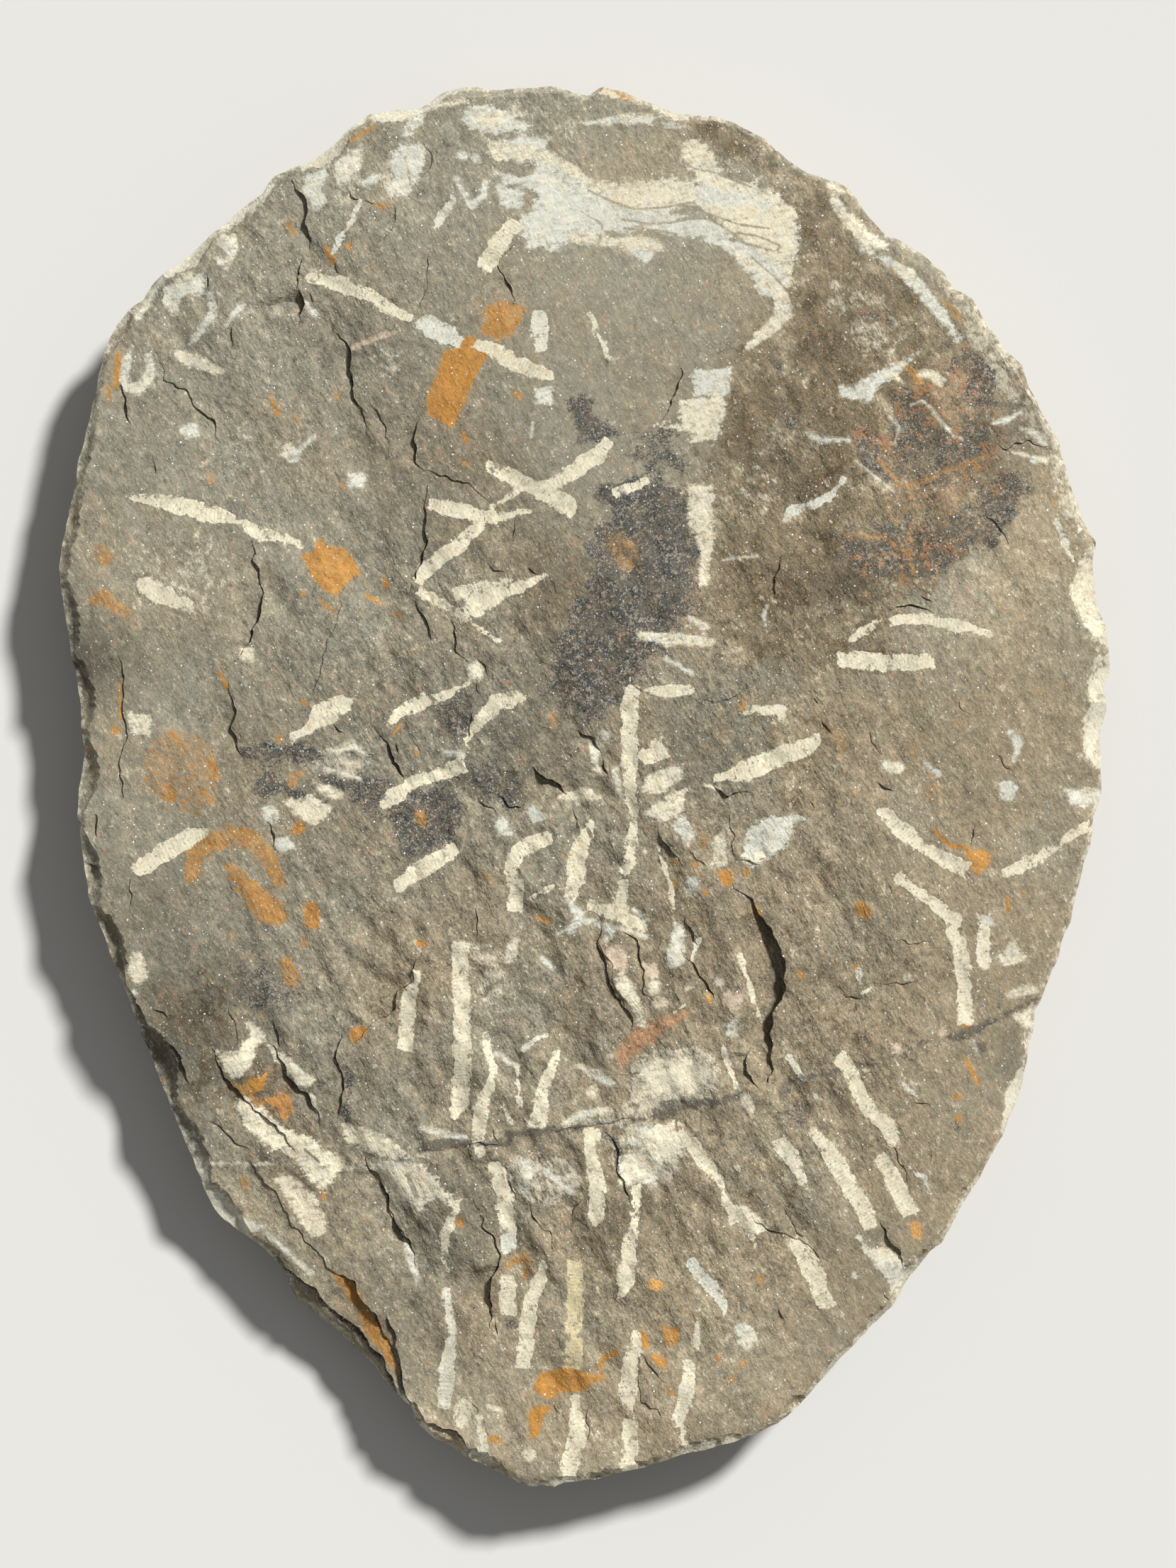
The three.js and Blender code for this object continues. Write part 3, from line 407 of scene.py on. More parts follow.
# %% Hazes: strength and softness in mm, then an outline or a line
HAZES = [
    (0.6, 3.5, [(1010,212),(1060,222),(1110,250),(1080,265),(1030,252)]),
    (0.45, 4, [(640,1320),(740,1330),(735,1370),(650,1360)]),
    (0.4, 4, [(1150,1060),(1200,1060),(1196,1105),(1160,1100)]),
    (0.45, 5, [(225,765),(300,765),(310,840),(240,850)]),
    (0.5, 3, [(660,1340,30),(690,1380,50),(700,1420,30)]), (0.4, 5, [(720,170,60),(800,180,40)]),
    (0.5, 4, [(1185,420,40),(1230,470,60),(1250,520,30)]), (0.35, 5, [(1100,640,50),(1060,700,60)]),
    (0.7, 1.5, [(1325,400),(1350,408),(1385,440),(1445,520),(1480,590),(1530,740),(1500,740),(1470,640),
        (1440,590),(1400,540),(1385,505),(1362,480),(1355,450)]), (0.6, 3, [(1190,412,14),(1245,425,14)]),
    (0.6, 3, [(1215,465,12),(1260,465,12)]),
    (1, 1.6, [(887,1520),(900,1492),(925,1478),(960,1474),(993,1484),(1012,1500),(1014,1530),(1005,1556),
        (960,1560),(915,1570),(870,1590),(830,1592),(885,1552)]),
    (0.9, 1.2, [(860,1605),(905,1592),(950,1590),(975,1620),(950,1660),(925,1680),(880,1672),(862,1640)]),
    (0.9, 0.4, [(283,1642,6),(440,1641,6)]), (1, 0.4, [(520,1640,7),(604,1628,7)]),
    (0.8, 1, [(448,1060),(500,1043),(528,1058),(522,1088),(500,1104),(440,1085)]),
    (0.75, 1.2, [(710,1635),(760,1625),(815,1640),(822,1675),(790,1700),(745,1695),(722,1670)]),
    (0.8, 1.2, [(535,270),(545,225),(570,200),(600,210),(602,240),(575,262),(555,282)]),
    (0.6, 1.5, [(470,290),(475,245),(500,225),(515,250),(500,285)]),
    (0.5, 1.2, [(515,510),(535,490),(565,498),(562,530),(530,534)]),
    (0.6, 1.2, [(235,405),(262,382),(285,395),(280,420),(245,430)]),
]
print(len(HOLES), "holes and", len(HAZES), "hazes")

# %% [markdown]
# Rust comes from grains of pyrite that rotted away: bright orange where it is thick,
# brown where it is a film. The slate and umber stains are soot and manganese, the brown
# ground is shale that has weathered further, and the vein is a dark joint across the
# lower third. One stain beside a crack and one brown band along the central valley are
# painted shade instead. All are thin colours on the stone, listed as outlines or lines
# again, with how strong each is.

# %% Rust: brightness, then an outline or a line
RUST = [
    (0.45, [(686,432),(713,423),(743,440),(724,476),(700,486),(678,470)]),
    (0.6, [(626,497),(640,492),(662,473),(691,492),(688,505),(675,527),(640,606),(602,586),(602,559),
        (616,530)]),
    (0.75, [(426,782),(441,778),(449,760),(467,770),(489,774),(518,822),(502,811),(480,835),(476,845),
        (453,830),(438,811)]), (0.7, [(521,287),(543,300),(556,286),(545,291),(532,288)]),
    (0.6, [(494,200,5),(528,180,4)]), (0.6, [(850,129,9),(893,140,8)]), (0.3, [(414,330,10),(407,316,8)]),
    (0.6, [(461,352,7),(470,370,9)]), (0.7, [(168,500,8),(164,546,8)]), (0.7, [(153,546,5),(155,565,5)]),
    (0.8, [(382,560,3),(392,584,9)]), (0.5, [(297,670,5),(299,684,5)]), (0.5, [(655,612,7),(658,623,7)]),
    (0.6, [(543,818,8),(545,828,8)]), (0.6, [(517,841,6),(535,849,7)]), (0.5, [(454,850,6),(472,862,5)]),
    (0.3, [(143,780,24),(150,788,24)]), (0.35, [(126,838),(150,833),(188,862),(184,872),(128,852)]),
    (0.5, [(310,949,6),(322,970,7)]), (0.6, [(169,965,4),(171,1013,4)]),
    (0.2, [(215,1050),(240,1030),(285,1040),(310,1075),(308,1115),(280,1145),(235,1140),(205,1110),
        (200,1075)]), (0.45, [(300,1078,14),(305,1096,12)]), (0.4, [(236,1112,14),(245,1128,12)]),
    (0.35, [(290,1118,12),(300,1132,12)]), (0.35, [(242,1034,10),(254,1046,12)]),
    (0.5, [(426,1276),(444,1270),(452,1290),(449,1314),(430,1300)]),
    (0.65, [(409,1176),(422,1154),(434,1166),(425,1178)]),
    (0.35, [(407,1092),(430,1086),(425,1105),(409,1116)]), (0.6, [(556,1035,4),(566,1022,4)]),
    (0.35, [(594,1150,16),(598,1162,14)]), (0.4, [(779,1010,7),(779,1028,6)]),
    (0.7, [(758,1293,7),(774,1301,8)]), (0.2, [(680,1232,12),(700,1248,12)]),
    (0.75, [(1010,1228),(1033,1226),(1036,1243),(1028,1254),(1017,1246)]),
    (0.4, [(993,1180,8),(993,1191,8)]), (0.6, [(1066,1280,7),(1069,1290,6)]),
    (0.5, [(1047,989,6),(1047,1001,5)]), (0.15, [(1180,1040,24),(1190,1054,20)]),
    (0.75, [(1204,1274),(1215,1270),(1230,1284),(1226,1297),(1210,1292)]),
    (0.8, [(1360,1199),(1384,1197),(1399,1205),(1393,1224),(1378,1234),(1365,1222)]),
    (0.6, [(1316,1172,6),(1342,1194,7),(1362,1195,7)]), (0.6, [(1420,1269,7),(1422,1284,6)]),
    (0.15, [(1314,1095,22),(1318,1120,24)]), (0.1, [(1288,1050,18),(1290,1086,20)]),
    (0.35, [(1335,430,7),(1354,451,8)]), (0.2, [(872,766,34),(886,788,34)]),
    (0.3, [(1200,754,6),(1246,759,7),(1284,784,6),(1289,811,6)]), (0.3, [(1284,743,6),(1284,780,6)]),
    (0.55, [(346,1532),(352,1520),(368,1519),(379,1507),(375,1530),(368,1541),(349,1540)]),
    (0.5, [(387,1546),(398,1543),(411,1546),(413,1565),(403,1582),(394,1578),(390,1562),(371,1557),
        (365,1551)]), (0.4, [(333,1530,7),(355,1546,9),(382,1581,7)]), (0.4, [(404,1356,18),(412,1380,22)]),
    (0.45, [(433,1304,11),(442,1306,10)]), (0.35, [(343,1665,10),(345,1676,10)]),
    (0.5, [(494,1451),(516,1447),(520,1454),(498,1477),(493,1465)]), (0.6, [(591,1330,10),(598,1332,9)]),
    (0.6, [(455,1682,7),(457,1691,6)]), (0.9, [(999,1405,7),(1001,1412,7)]),
    (0.75, [(1362,1495,7),(1378,1526,8)]), (0.7, [(1346,1546,7),(1354,1546,6)]),
    (0.6, [(693,2030,11),(705,2032,10)]),
    (0.35, [(716,1786,10),(726,1777,12),(740,1773,13),(744,1782,13),(740,1800,11)]),
    (0.65, [(749,1959),(762,1938),(791,1930),(799,1924),(832,1938),(856,1940),(853,1946),(840,1949),
        (824,1962),(791,1965),(780,1973),(772,1973)]), (0.5, [(845,1932,7),(851,1916,8),(868,1908,12)]),
    (0.6, [(745,1995),(753,1981),(783,1984),(767,1997),(762,2022),(751,2032),(747,2027)]),
    (0.95, [(921,1810,15),(929,1812,15)]), (0.55, [(901,1876),(912,1878),(917,1895),(915,1905),(906,1900)]),
    (0.5, [(931,1865),(955,1873),(960,1886),(947,1900),(936,1897)]),
    (0.55, [(912,1908),(923,1908),(936,1913),(944,1921),(936,1930),(925,1924)]),
    (0.3, [(935,1956,9),(953,1967,8)]), (0.3, [(1052,1916,8),(1028,1949,7)]),
    (0.95, [(1291,1729,15),(1293,1741,15)]), (0.6, [(1354,1440,12),(1366,1446,10)]),
    (0.55, [(1262,514,10),(1276,516,12)]), (0.35, [(1284,524,14),(1298,540,12)]),
    (0.3, [(1240,650,7),(1275,690,6),(1400,640,7)]), (0.44, [(472,1798,10),(488,1815,16),(503,1838,18)]),
    (0.46, [(508,1846,16),(527,1880,24),(542,1900,16)]), (0.44, [(545,1908,14),(556,1937,10)]),
    (0.38, [(273,1236,20),(276,1200,26),(330,1178,28),(358,1186,26),(382,1212,26),(393,1242,20)]),
    (0.4, [(325,1222,14),(348,1250,28),(372,1278,38),(390,1290,32)]),
]
RUST_DOTS = [
    (0.5,492,349,8), (0.5,475,558,7), (0.5,418,592,6), (0.5,484,686,6), (0.6,730,558,10), (0.5,656,654,6),
    (0.5,562,866,5), (0.5,428,838,6), (0.7,163,1030,11), (0.4,428,990,8), (0.4,395,1042,8), (0.4,120,1055,9),
    (0.4,586,1062,6), (0.6,1052,1230,9), (0.5,980,1220,7), (0.4,950,1216,7), (0.5,950,1246,6),
    (0.6,994,1259,7), (0.3,1462,972,7), (0.3,1496,965,7), (0.3,1352,1022,7), (0.3,1440,1260,8),
    (0.35,1376,659,10), (0.35,1486,708,8), (0.4,428,1330,10), (0.2,330,1318,12), (0.2,352,1348,12),
    (0.5,648,1724,11), (0.6,1128,1374,8), (0.6,1208,1364,7), (0.7,1350,1576,9), (0.3,1012,1916,12),
    (0.6,1071,1804,8), (0.7,1244,1766,10),
]
RUST += dots(RUST_DOTS)
print(len(RUST), "rust spots")

# %% Reddish brushings: strength and softness in mm, then an outline or a line
REDS = [
    (1, 1.3, [(964,1430,14),(905,1462,34),(882,1482,28),(876,1502,12)]),
    (0.8, 2, [(385,1545),(405,1538),(414,1565),(398,1582),(380,1562)]),
    (0.4, 2.5, [(1300,545),(1345,505),(1385,530),(1390,575),(1350,600),(1310,590)]),
    (0.6, 1.5, [(1232,612,20),(1248,632,26),(1262,645,16)]),
    (0.35, 4, [(1240,690),(1400,655),(1440,665),(1420,700),(1300,725),(1240,720)]),
    (0.35, 2, [(1215,770),(1280,755),(1330,770),(1290,800),(1240,800)]),
    (0.3, 3, [(1330,812),(1400,808),(1440,830),(1436,868),(1380,872),(1334,850)]),
]
print(len(REDS), "reddish brushings")

# %% Stains, and one of painted shade: strength and softness in mm, then an outline or a line
STAINS_AND_PAINTED_SHADE = [
    # the second entry here is painted shade on a facet beside a crack that faces away from the lamp
    (0.7, 0.7, [(850,1597,8),(869,1611,9),(877,1673,8)]), (0.5, 1.5, [(490,1500,16),(488,1580,16)]),
    (0.9, 2, [(795,560),(830,562),(848,590),(880,612),(850,625),(818,622),(806,580)]),
    (0.6, 5, [(905,600),(955,605),(965,660),(930,705),(890,690),(885,640)]),
    (0.85, 5, [(905,690),(985,690),(992,760),(985,850),(930,925),(830,1020),(800,1005),(775,978),(780,925),
        (836,838),(830,760),(870,715)]),
    (1, 5, [(815,850),(880,830),(960,840),(940,900),(880,950),(820,985),(790,960)]),
    (0.95, 2.5, [(613,1005),(629,989),(664,976),(664,1008),(656,1046)]),
    (1, 2.5, [(500,1100),(530,1093),(552,1110),(545,1125),(520,1142),(497,1125)]),
    (0.8, 3.5, [(535,1150),(600,1120),(640,1110),(650,1130),(640,1165),(645,1185),(610,1195),(590,1207),
        (566,1195),(550,1165)]),
    (0.9, 3, [(640,1085),(690,1078),(725,1088),(738,1130),(715,1142),(700,1122),(640,1112)]),
    (0.8, 2.5, [(344,1060),(400,1056),(402,1076),(350,1080)]),
    (0.8, 2.5, [(376,1094,22),(392,1106,22),(370,1120,14)]), (0.7, 2, [(412,1068,18),(448,1070,14)]),
    (0.5, 6, [(330,1360),(390,1350),(410,1400),(390,1450),(345,1440)]),
    (0.8, 1.5, [(1222,1458,13),(1224,1474,11)]), (0.5, 1.5, [(715,1863,13),(725,1868,12)]),
    (0.5, 3, [(1106,1532),(1142,1530),(1142,1584),(1110,1582)]), (1, 0.8, [(1127,1580,8),(1130,1583,8)]),
    (0.6, 1.5, [(954,1457,10),(957,1461,10)]), (0.6, 0.8, [(1037,1453,6),(1040,1456,6)]),
    (0.6, 1.5, [(1350,1582,10),(1351,1590,8)]),
    (0.85, 2, [(1262,560),(1300,548),(1316,580),(1290,600),(1262,595)]),
    (0.9, 2, [(1205,610),(1235,598),(1262,640),(1255,680),(1215,672)]),
    (0.8, 2, [(1300,655),(1338,648),(1344,686),(1310,692)]),
    (0.9, 2, [(1352,488),(1385,500),(1408,540),(1398,572),(1365,555)]),
    (0.35, 5, [(1300,560),(1345,470),(1392,508),(1440,580),(1430,640),(1268,686),(1205,643),(1222,603)]),
    (0.9, 3, [(1185,750),(1215,738),(1308,740),(1360,722),(1420,728),(1400,770),(1268,832),(1227,813),
        (1190,785)]), (0.75, 2.5, [(1375,680),(1430,662),(1452,690),(1420,735),(1385,730)]),
    (0.6, 1.5, [(1130,458,10),(1145,472,10)]), (0.6, 1.5, [(1083,505,12),(1098,525,12)]),
    (0.6, 1.5, [(1218,443,8),(1253,456,8)]), (0.6, 1.5, [(1103,565,12),(1122,610,14)]),
    (1, 1.2, [(345,1062,12),(372,1052,14),(400,1062,14),(428,1052,10),(450,1066,8)]),
    (1, 1.2, [(455,1100,12),(480,1108,16),(505,1098,12)]),
    (1, 1.2, [(395,1108,16),(425,1124,12),(462,1132,8)]),
    (1, 1.5, [(560,1128,18),(600,1132,26),(636,1120,22)]),
    (1, 1.5, [(575,1170,22),(612,1176,26),(640,1160,16)]), (1, 1.2, [(665,1095,20),(728,1110,20)]),
    (0.9, 1, [(850,700,26),(900,690,30),(950,700,22)]), (1, 1.2, [(880,830,60),(860,900,60),(830,960,40)]),
    (0.72, 3, [(1245,600),(1300,585),(1345,600),(1400,590),(1405,640),(1370,680),(1300,690),(1250,660)]),
]

# %% Brown ground, and one band of painted shade: strength and softness in mm, then an outline or a line
BROWNS_AND_PAINTED_SHADE = [
    (0.6, 9, [(190,1380),(300,1360),(400,1480),(440,1600),(380,1640),(280,1560)]),
    # this band along the central valley is painted shade
    (0.5, 6, [(1060,1290,40),(1095,1380,50),(1085,1520,40)]),
    (1, 9, [(1085,190),(1230,350),(1330,440),(1400,560),(1400,700),(1340,800),(1270,860),(1240,930),
        (1180,960),(1010,930),(990,860),(1008,760),(1012,640),(1040,500),(1090,440),(1120,380)]),
    (1, 4, [(960,166),(1010,172),(1075,205),(1120,250),(1105,262),(1040,240)]),
    (0.8, 3, [(1170,266),(1330,420),(1310,420),(1200,320)]),
    (0.45, 9, [(780,1330),(850,1340),(870,1450),(862,1500),(800,1500),(760,1430)]),
    (0.5, 9, [(1000,930),(1200,960),(1240,1060),(1160,1180),(1010,1080),(985,990)]),
    (0.45, 12, [(1060,1300),(1240,1300),(1300,1500),(1120,1640),(1060,1560)]),
    (0.6, 5, [(1034,1590),(1052,1592),(1054,1640),(1036,1644)]),
    (0.4, 9, [(900,1230),(1000,1240),(1010,1440),(920,1440)]),
    (0.5, 5, [(596,700),(700,745),(690,800),(600,800)]),
    (0.5, 6, [(1040,1600),(1110,1640),(1160,1780),(1100,1800),(1030,1680)]),
    (1, 2, [(1120,800),(1210,800),(1238,830),(1180,897),(1110,915),(1105,860)]),
    (1, 2, [(1000,818),(1036,808),(1075,830),(1070,870),(1030,880),(1000,860)]),
]

# %% The dark vein: strength and softness in mm, then a line
VEINS = [
    (0.9, 0.7, [(352,1611,8),(371,1632,10),(392,1638,10),(454,1688,7)]),
    (1, 0.6, [(590,1620,11),(625,1614,16),(660,1613,12)]), (1, 0.5, [(665,1615,9),(720,1612,8)]),
    (1, 0.5, [(720,1600,10),(790,1592,12)]), (1, 0.3, [(790,1595,5),(850,1582,6),(930,1578,5),(950,1572,5)]),
    (1, 0.6, [(926,1570,13),(940,1563,22),(962,1557,16)]),
    (0.9, 0.7, [(960,1558,11),(1000,1555,14),(1038,1548,12),(1040,1532,8)]),
    (0.8, 0.6, [(1106,1527,9),(1182,1510,10)]), (0.8, 0.6, [(1200,1503,8),(1279,1485,7)]),
    (1, 0.4, [(1289,1477,6),(1303,1467,6),(1319,1465,5)]),
    (1, 0.7, [(1330,1466,8),(1362,1458,14),(1412,1434,8),(1450,1412,5)]),
    (0.9, 0.7, [(1408,1420,8),(1414,1405,10)]), (0.7, 1, [(1380,1472,10),(1386,1478,10)]),
    (0.6, 0.4, [(290,1648,5),(350,1650,6),(402,1649,5)]), (0.6, 0.4, [(430,1648,4),(520,1646,5)]),
]
print(len(STAINS_AND_PAINTED_SHADE), "stains,", len(BROWNS_AND_PAINTED_SHADE), "brown grounds,", len(VEINS), "stretches of vein")

# %% [markdown]
# Shale breaks along its bedding, so a crack on the face is the end of a thin sheet: the
# stone drops straight down at a ragged line, and its lower floor rises back to the face
# a few millimetres on. Each crack is a line with its depth as a width on the grid, and
# the compass angle that the lower floor lies towards (180 is -X). The rim's own breaks
# fall further the further they run, and are given in millimetres. Two broad valleys in
# the middle drop at a crest that faces away from the lamp, so the stone below it lies in
# shade, and then rise slowly again.

# %% Cracks: angle of the lower side, depth as grid units, then the line
CRACKS = [
    (195, 8, [(410,256),(430,286),(437,305),(436,350)]), (190, 8, [(426,366),(418,392),(418,411)]),
    (190, 14, [(420,412),(429,430),(426,450)]), (190, 4, [(423,455),(423,466)]),
    (150, 4, [(436,412),(445,430)]), (190, 4, [(326,459),(329,490)]), (190, 5, [(291,392),(295,409)]),
    (230, 4, [(517,278),(530,289)]), (200, 6, [(556,286),(563,300),(540,355)]),
    (210, 4, [(501,269),(508,284)]), (215, 5, [(474,370),(480,386)]),
    (185, 6, [(606,356),(601,400),(593,436)]), (215, 4, [(545,412),(567,443)]),
    (180, 8, [(726,338),(705,373),(730,434)]), (200, 5, [(599,200),(608,222),(605,240),(587,263)]),
    (180, 7, [(168,534),(175,562),(180,598)]),
    (222, 6, [(218,494),(233,535),(260,554),(276,578),(303,603),(312,632)]), (185, 3, [(217,638),(219,673)]),
    (200, 8, [(470,466),(489,488),(495,505),(495,522),(500,543),(498,560),(517,581),(516,603),(521,632)]),
    (215, 4, [(521,576),(535,586),(559,657)]), (190, 7, [(589,590),(587,651),(597,664)]),
    (262, 5, [(596,666),(624,676),(645,674),(664,684),(692,709)]),
    (185, 6, [(600,682),(602,760),(599,792),(589,805),(573,843)]), (205, 5, [(636,878),(641,908),(660,938)]),
    (200, 5, [(585,848),(597,865),(606,884),(611,907)]), (190, 4, [(721,735),(722,772)]),
    (240, 4, [(686,795),(713,808)]), (240, 4, [(745,799),(762,808)]), (230, 4, [(775,819),(789,838)]),
    (240, 3, [(635,638),(652,643)]), (190, 6, [(966,515),(958,554),(930,598)]),
    (185, 5, [(1097,785),(1100,805),(1093,822),(1087,852)]), (222, 4, [(1384,719),(1400,738),(1429,780)]),
    (265, 6, [(1250,860),(1265,857),(1289,857),(1312,863)]), (230, 4, [(1300,838),(1316,849)]),
    (190, 8, [(356,758),(363,781),(360,789),(365,803),(363,819),(367,832),(363,860),(348,913),(338,930),
        (319,948)]), (187, 6, [(320,950),(330,986),(333,1008),(329,1030),(343,1079)]),
    (190, 5, [(479,836),(477,862),(472,886),(463,903),(460,927),(451,960),(440,980)]),
    (205, 9, [(530,1028),(548,1054),(570,1100)]), (205, 4, [(562,1046),(566,1062)]),
    (225, 4, [(578,1038),(591,1068),(602,1076)]), (190, 4, [(675,930),(685,940),(685,951)]),
    (205, 4, [(670,963),(676,981)]), (190, 5, [(667,1000),(656,1051)]), (200, 4, [(562,1176),(568,1200)]),
    (215, 4, [(678,1122),(690,1135),(700,1155)]), (225, 4, [(702,1116),(717,1139),(737,1139)]),
    (238, 10, [(748,1080),(759,1092),(806,1120)]), (215, 5, [(816,1028),(837,1043),(853,1060)]),
    (195, 5, [(848,1073),(856,1095)]), (190, 4, [(808,1138),(813,1170)]), (215, 4, [(893,958),(909,978)]),
    (268, 5, [(978,966),(988,984),(1009,988),(1035,985),(1062,968)]),
    (212, 5, [(924,1153),(928,1178),(936,1192),(957,1214)]), (240, 4, [(968,1200),(1007,1228)]),
    (262, 9, [(1002,1100),(1028,1122),(1063,1120)]), (183, 5, [(1031,1128),(1033,1214)]),
    (250, 4, [(1033,1211),(1071,1224)]), (215, 4, [(1102,1024),(1109,1040)]),
    (215, 3, [(1142,986),(1152,997)]), (215, 3, [(1160,1011),(1177,1038)]),
    (190, 3, [(1225,962),(1217,981)]), (200, 4, [(1227,1030),(1230,1046),(1245,1063)]),
    (215, 3, [(1142,1130),(1150,1138)]), (185, 3, [(1270,954),(1269,970)]),
    (185, 4, [(1355,986),(1357,1008)]), (225, 3, [(1400,1065),(1430,1092)]),
    (190, 3, [(1378,1165),(1372,1192)]), (225, 4, [(1238,1103),(1258,1118)]),
    (215, 3, [(1249,1249),(1258,1263)]), (205, 3, [(1067,1284),(1071,1286),(1082,1311)]),
    (200, 5, [(966,1296),(979,1335)]), (185, 4, [(672,1281),(674,1327)]),
    (185, 4, [(183,1232),(191,1262),(187,1284)]), (230, 5, [(122,1220),(133,1222),(146,1238)]),
    (205, 5, [(130,1149),(141,1181)]), (200, 5, [(374,1156),(391,1205)]), (230, 4, [(472,1018),(490,1034)]),
    (193, 8, [(842,1296),(849,1321),(860,1389),(865,1405),(877,1413),(886,1430),(893,1451),(893,1464)]),
    (200, 5, [(880,1312),(896,1327),(913,1397),(922,1413)]), (212, 6, [(970,1354),(1001,1384),(1009,1410)]),
    (190, 9, [(1060,1473),(1052,1495),(1055,1516),(1067,1534)]),
    (265, 4, [(1237,1387),(1251,1391),(1262,1386),(1290,1384)]),
    (262, 4, [(1262,1325),(1281,1330),(1317,1326)]), (265, 3, [(1190,1408),(1215,1405)]),
    (150, 6, [(592,1336),(579,1381),(567,1395),(559,1416),(548,1432),(529,1443),(518,1457),(498,1475)]),
    (183, 6, [(476,1455),(481,1511),(478,1543),(480,1585)]), (222, 8, [(299,1480),(326,1535),(422,1622)]),
    (218, 8, [(366,1463),(382,1478),(425,1538),(437,1546),(446,1576),(454,1590)]),
    (185, 4, [(386,1444),(391,1480)]), (205, 4, [(325,1405),(323,1427),(338,1459),(341,1473)]),
    (232, 3, [(296,1579),(355,1627),(376,1640)]), (3, 4, [(665,1432),(668,1465),(668,1503)]),
    (200, 4, [(682,1381),(685,1405)]), (205, 4, [(695,1592),(699,1611)]),
    (188, 6, [(848,1594),(869,1611),(877,1673),(894,1708)]), (215, 5, [(745,1700),(778,1743),(781,1760)]),
    (203, 10, [(517,1634),(532,1654),(540,1670),(556,1711),(564,1740),(575,1751),(590,1785)]),
    (200, 3, [(716,1663),(724,1678),(728,1692)]), (160, 5, [(818,1689),(810,1700),(805,1716)]),
    (180, 9, [(672,1695),(683,1724),(694,1743),(701,1765),(701,1786),(693,1808),(693,1859),(690,1876)]),
    (205, 3, [(694,1862),(701,1889)]), (225, 5, [(901,1896),(901,1960),(904,1976),(937,1999)]),
    (225, 3, [(904,1908),(936,1943)]), (238, 6, [(1060,1711),(1090,1732),(1144,1757),(1157,1777)]),
    (205, 5, [(1107,1704),(1127,1747)]), (183, 4, [(823,1986),(829,2010),(830,2035)]),
    (225, 4, [(780,1981),(799,2005)]), (195, 5, [(668,1978),(671,1997)]), (215, 4, [(684,2010),(689,2030)]),
    (210, 4, [(1253,1614),(1270,1632),(1278,1651),(1282,1675)]), (185, 3, [(1311,1621),(1312,1643)]),
    (205, 6, [(1240,1720),(1273,1765),(1274,1788)]), (215, 8, [(1247,1822),(1256,1834)]),
    (245, 4, [(1281,1557),(1308,1562)]), (200, 3, [(1131,1467),(1125,1486),(1131,1505)]),
    (205, 3, [(1098,1846),(1104,1862)]), (215, 3, [(392,1705),(400,1722),(405,1740),(403,1762)]),
    (222, 3, [(368,1732),(395,1765)]), (225, 3, [(214,1424),(236,1438)]),
    (200, 4, [(552,1700),(560,1725),(572,1745)]),
    (265, 6, [(1403,625),(1420,634),(1430,630),(1440,634),(1450,625),(1480,632)]),
    (255, 3, [(770,1604),(800,1594),(850,1584),(895,1578)]), (258, 3, [(594,1625),(640,1616),(715,1611)]),
    (250, 3, [(1338,1468),(1375,1456),(1408,1438)]),
]
CRACK_DEPTH = 0.135  # mm of drop for one grid unit of depth
CRACK_REACH = 0.9  # mm of floor for one grid unit of depth

# %% Valleys: angle of the lower side, drop, bend and width in mm, then the crest
VALLEYS = [
    (200, 3.6, 0.3, 9.5, [(1040,1250),(1070,1288),(1101,1332),(1110,1358),(1105,1393),(1092,1427),
        (1088,1471),(1085,1528)]),
    (193, 0.2, 0.9, 4.5, [(842,1300),(852,1340),(860,1380),(880,1412),(892,1448)]),
]

# %% Breaks of the rim: angle, drop, reach and drop at the far side in mm, then the line
RIM_BREAKS = [
    (180, 0.5, 8, 0.3, [(167,926),(173,962),(179,1046),(173,1068),(173,1095),(177,1130)]),
    (205, 0.9, 8, 1.8, [(168,1343),(180,1392),(214,1443),(246,1476),(255,1489),(268,1528)]),
    (205, 0.9, 7, 2.4, [(546,1855),(553,1884),(562,1908),(582,1992)]),
    (240, 1, 9, 5, [(584,2003),(645,2022),(656,2035),(668,2066)]),
    (222, 0.35, 11, 1.4, [(352,1636),(436,1760),(463,1789),(486,1804)]),
    (222, 1.5, 12, 3.6, [(480,1801),(499,1816),(534,1873),(561,1929),(578,1985)]),
    (228, 3.2, 10, 7, [(385,1762),(405,1786),(425,1806),(452,1826),(520,1893),(556,1950),(572,1985)]),
]
print(len(CRACKS), "cracks,", len(VALLEYS), "valleys and", len(RIM_BREAKS), "breaks of the rim")

# %% [markdown]
# A mark is measured, not drawn: every point of the mesh gets the distance in millimetres
# to the mark's edge, positive inside. The material later turns that distance into a
# crisp, broken edge of its own, so the mesh doesn't have to follow the edge. Outlines
# and lines are measured by the two helpers below.


# %% How deep a point lies inside a mark
def line_depth(points, path, halves, square_ends=False):
    """Depth inside a line of changing half width, and the distance run along it."""
    best = np.full(len(points), -1e3)
    run = np.zeros(len(points))
    start = 0.0
    for a, b, half_a, half_b in zip(path[:-1], path[1:], halves[:-1], halves[1:]):
        step = b - a
        length = math.hypot(*step)
        part = np.clip((points - a) @ step / length ** 2, 0, 1)
        away = np.hypot(*(points - a - part[:, None] * step).T)
        depth = half_a + (half_b - half_a) * part - away
        better = depth > best
        best[better] = depth[better]
        run[better] = (start + part * length)[better]
        start += length
    if square_ends:
        for end, inner, half, here in (
            (path[0], path[1], halves[0], run), (path[-1], path[-2], halves[-1], start - run),
        ):
            inward = (inner - end) / math.hypot(*(inner - end))
            near_end = here < half
            best[near_end] = np.minimum(best, (points - end) @ inward)[near_end]
    return best, run


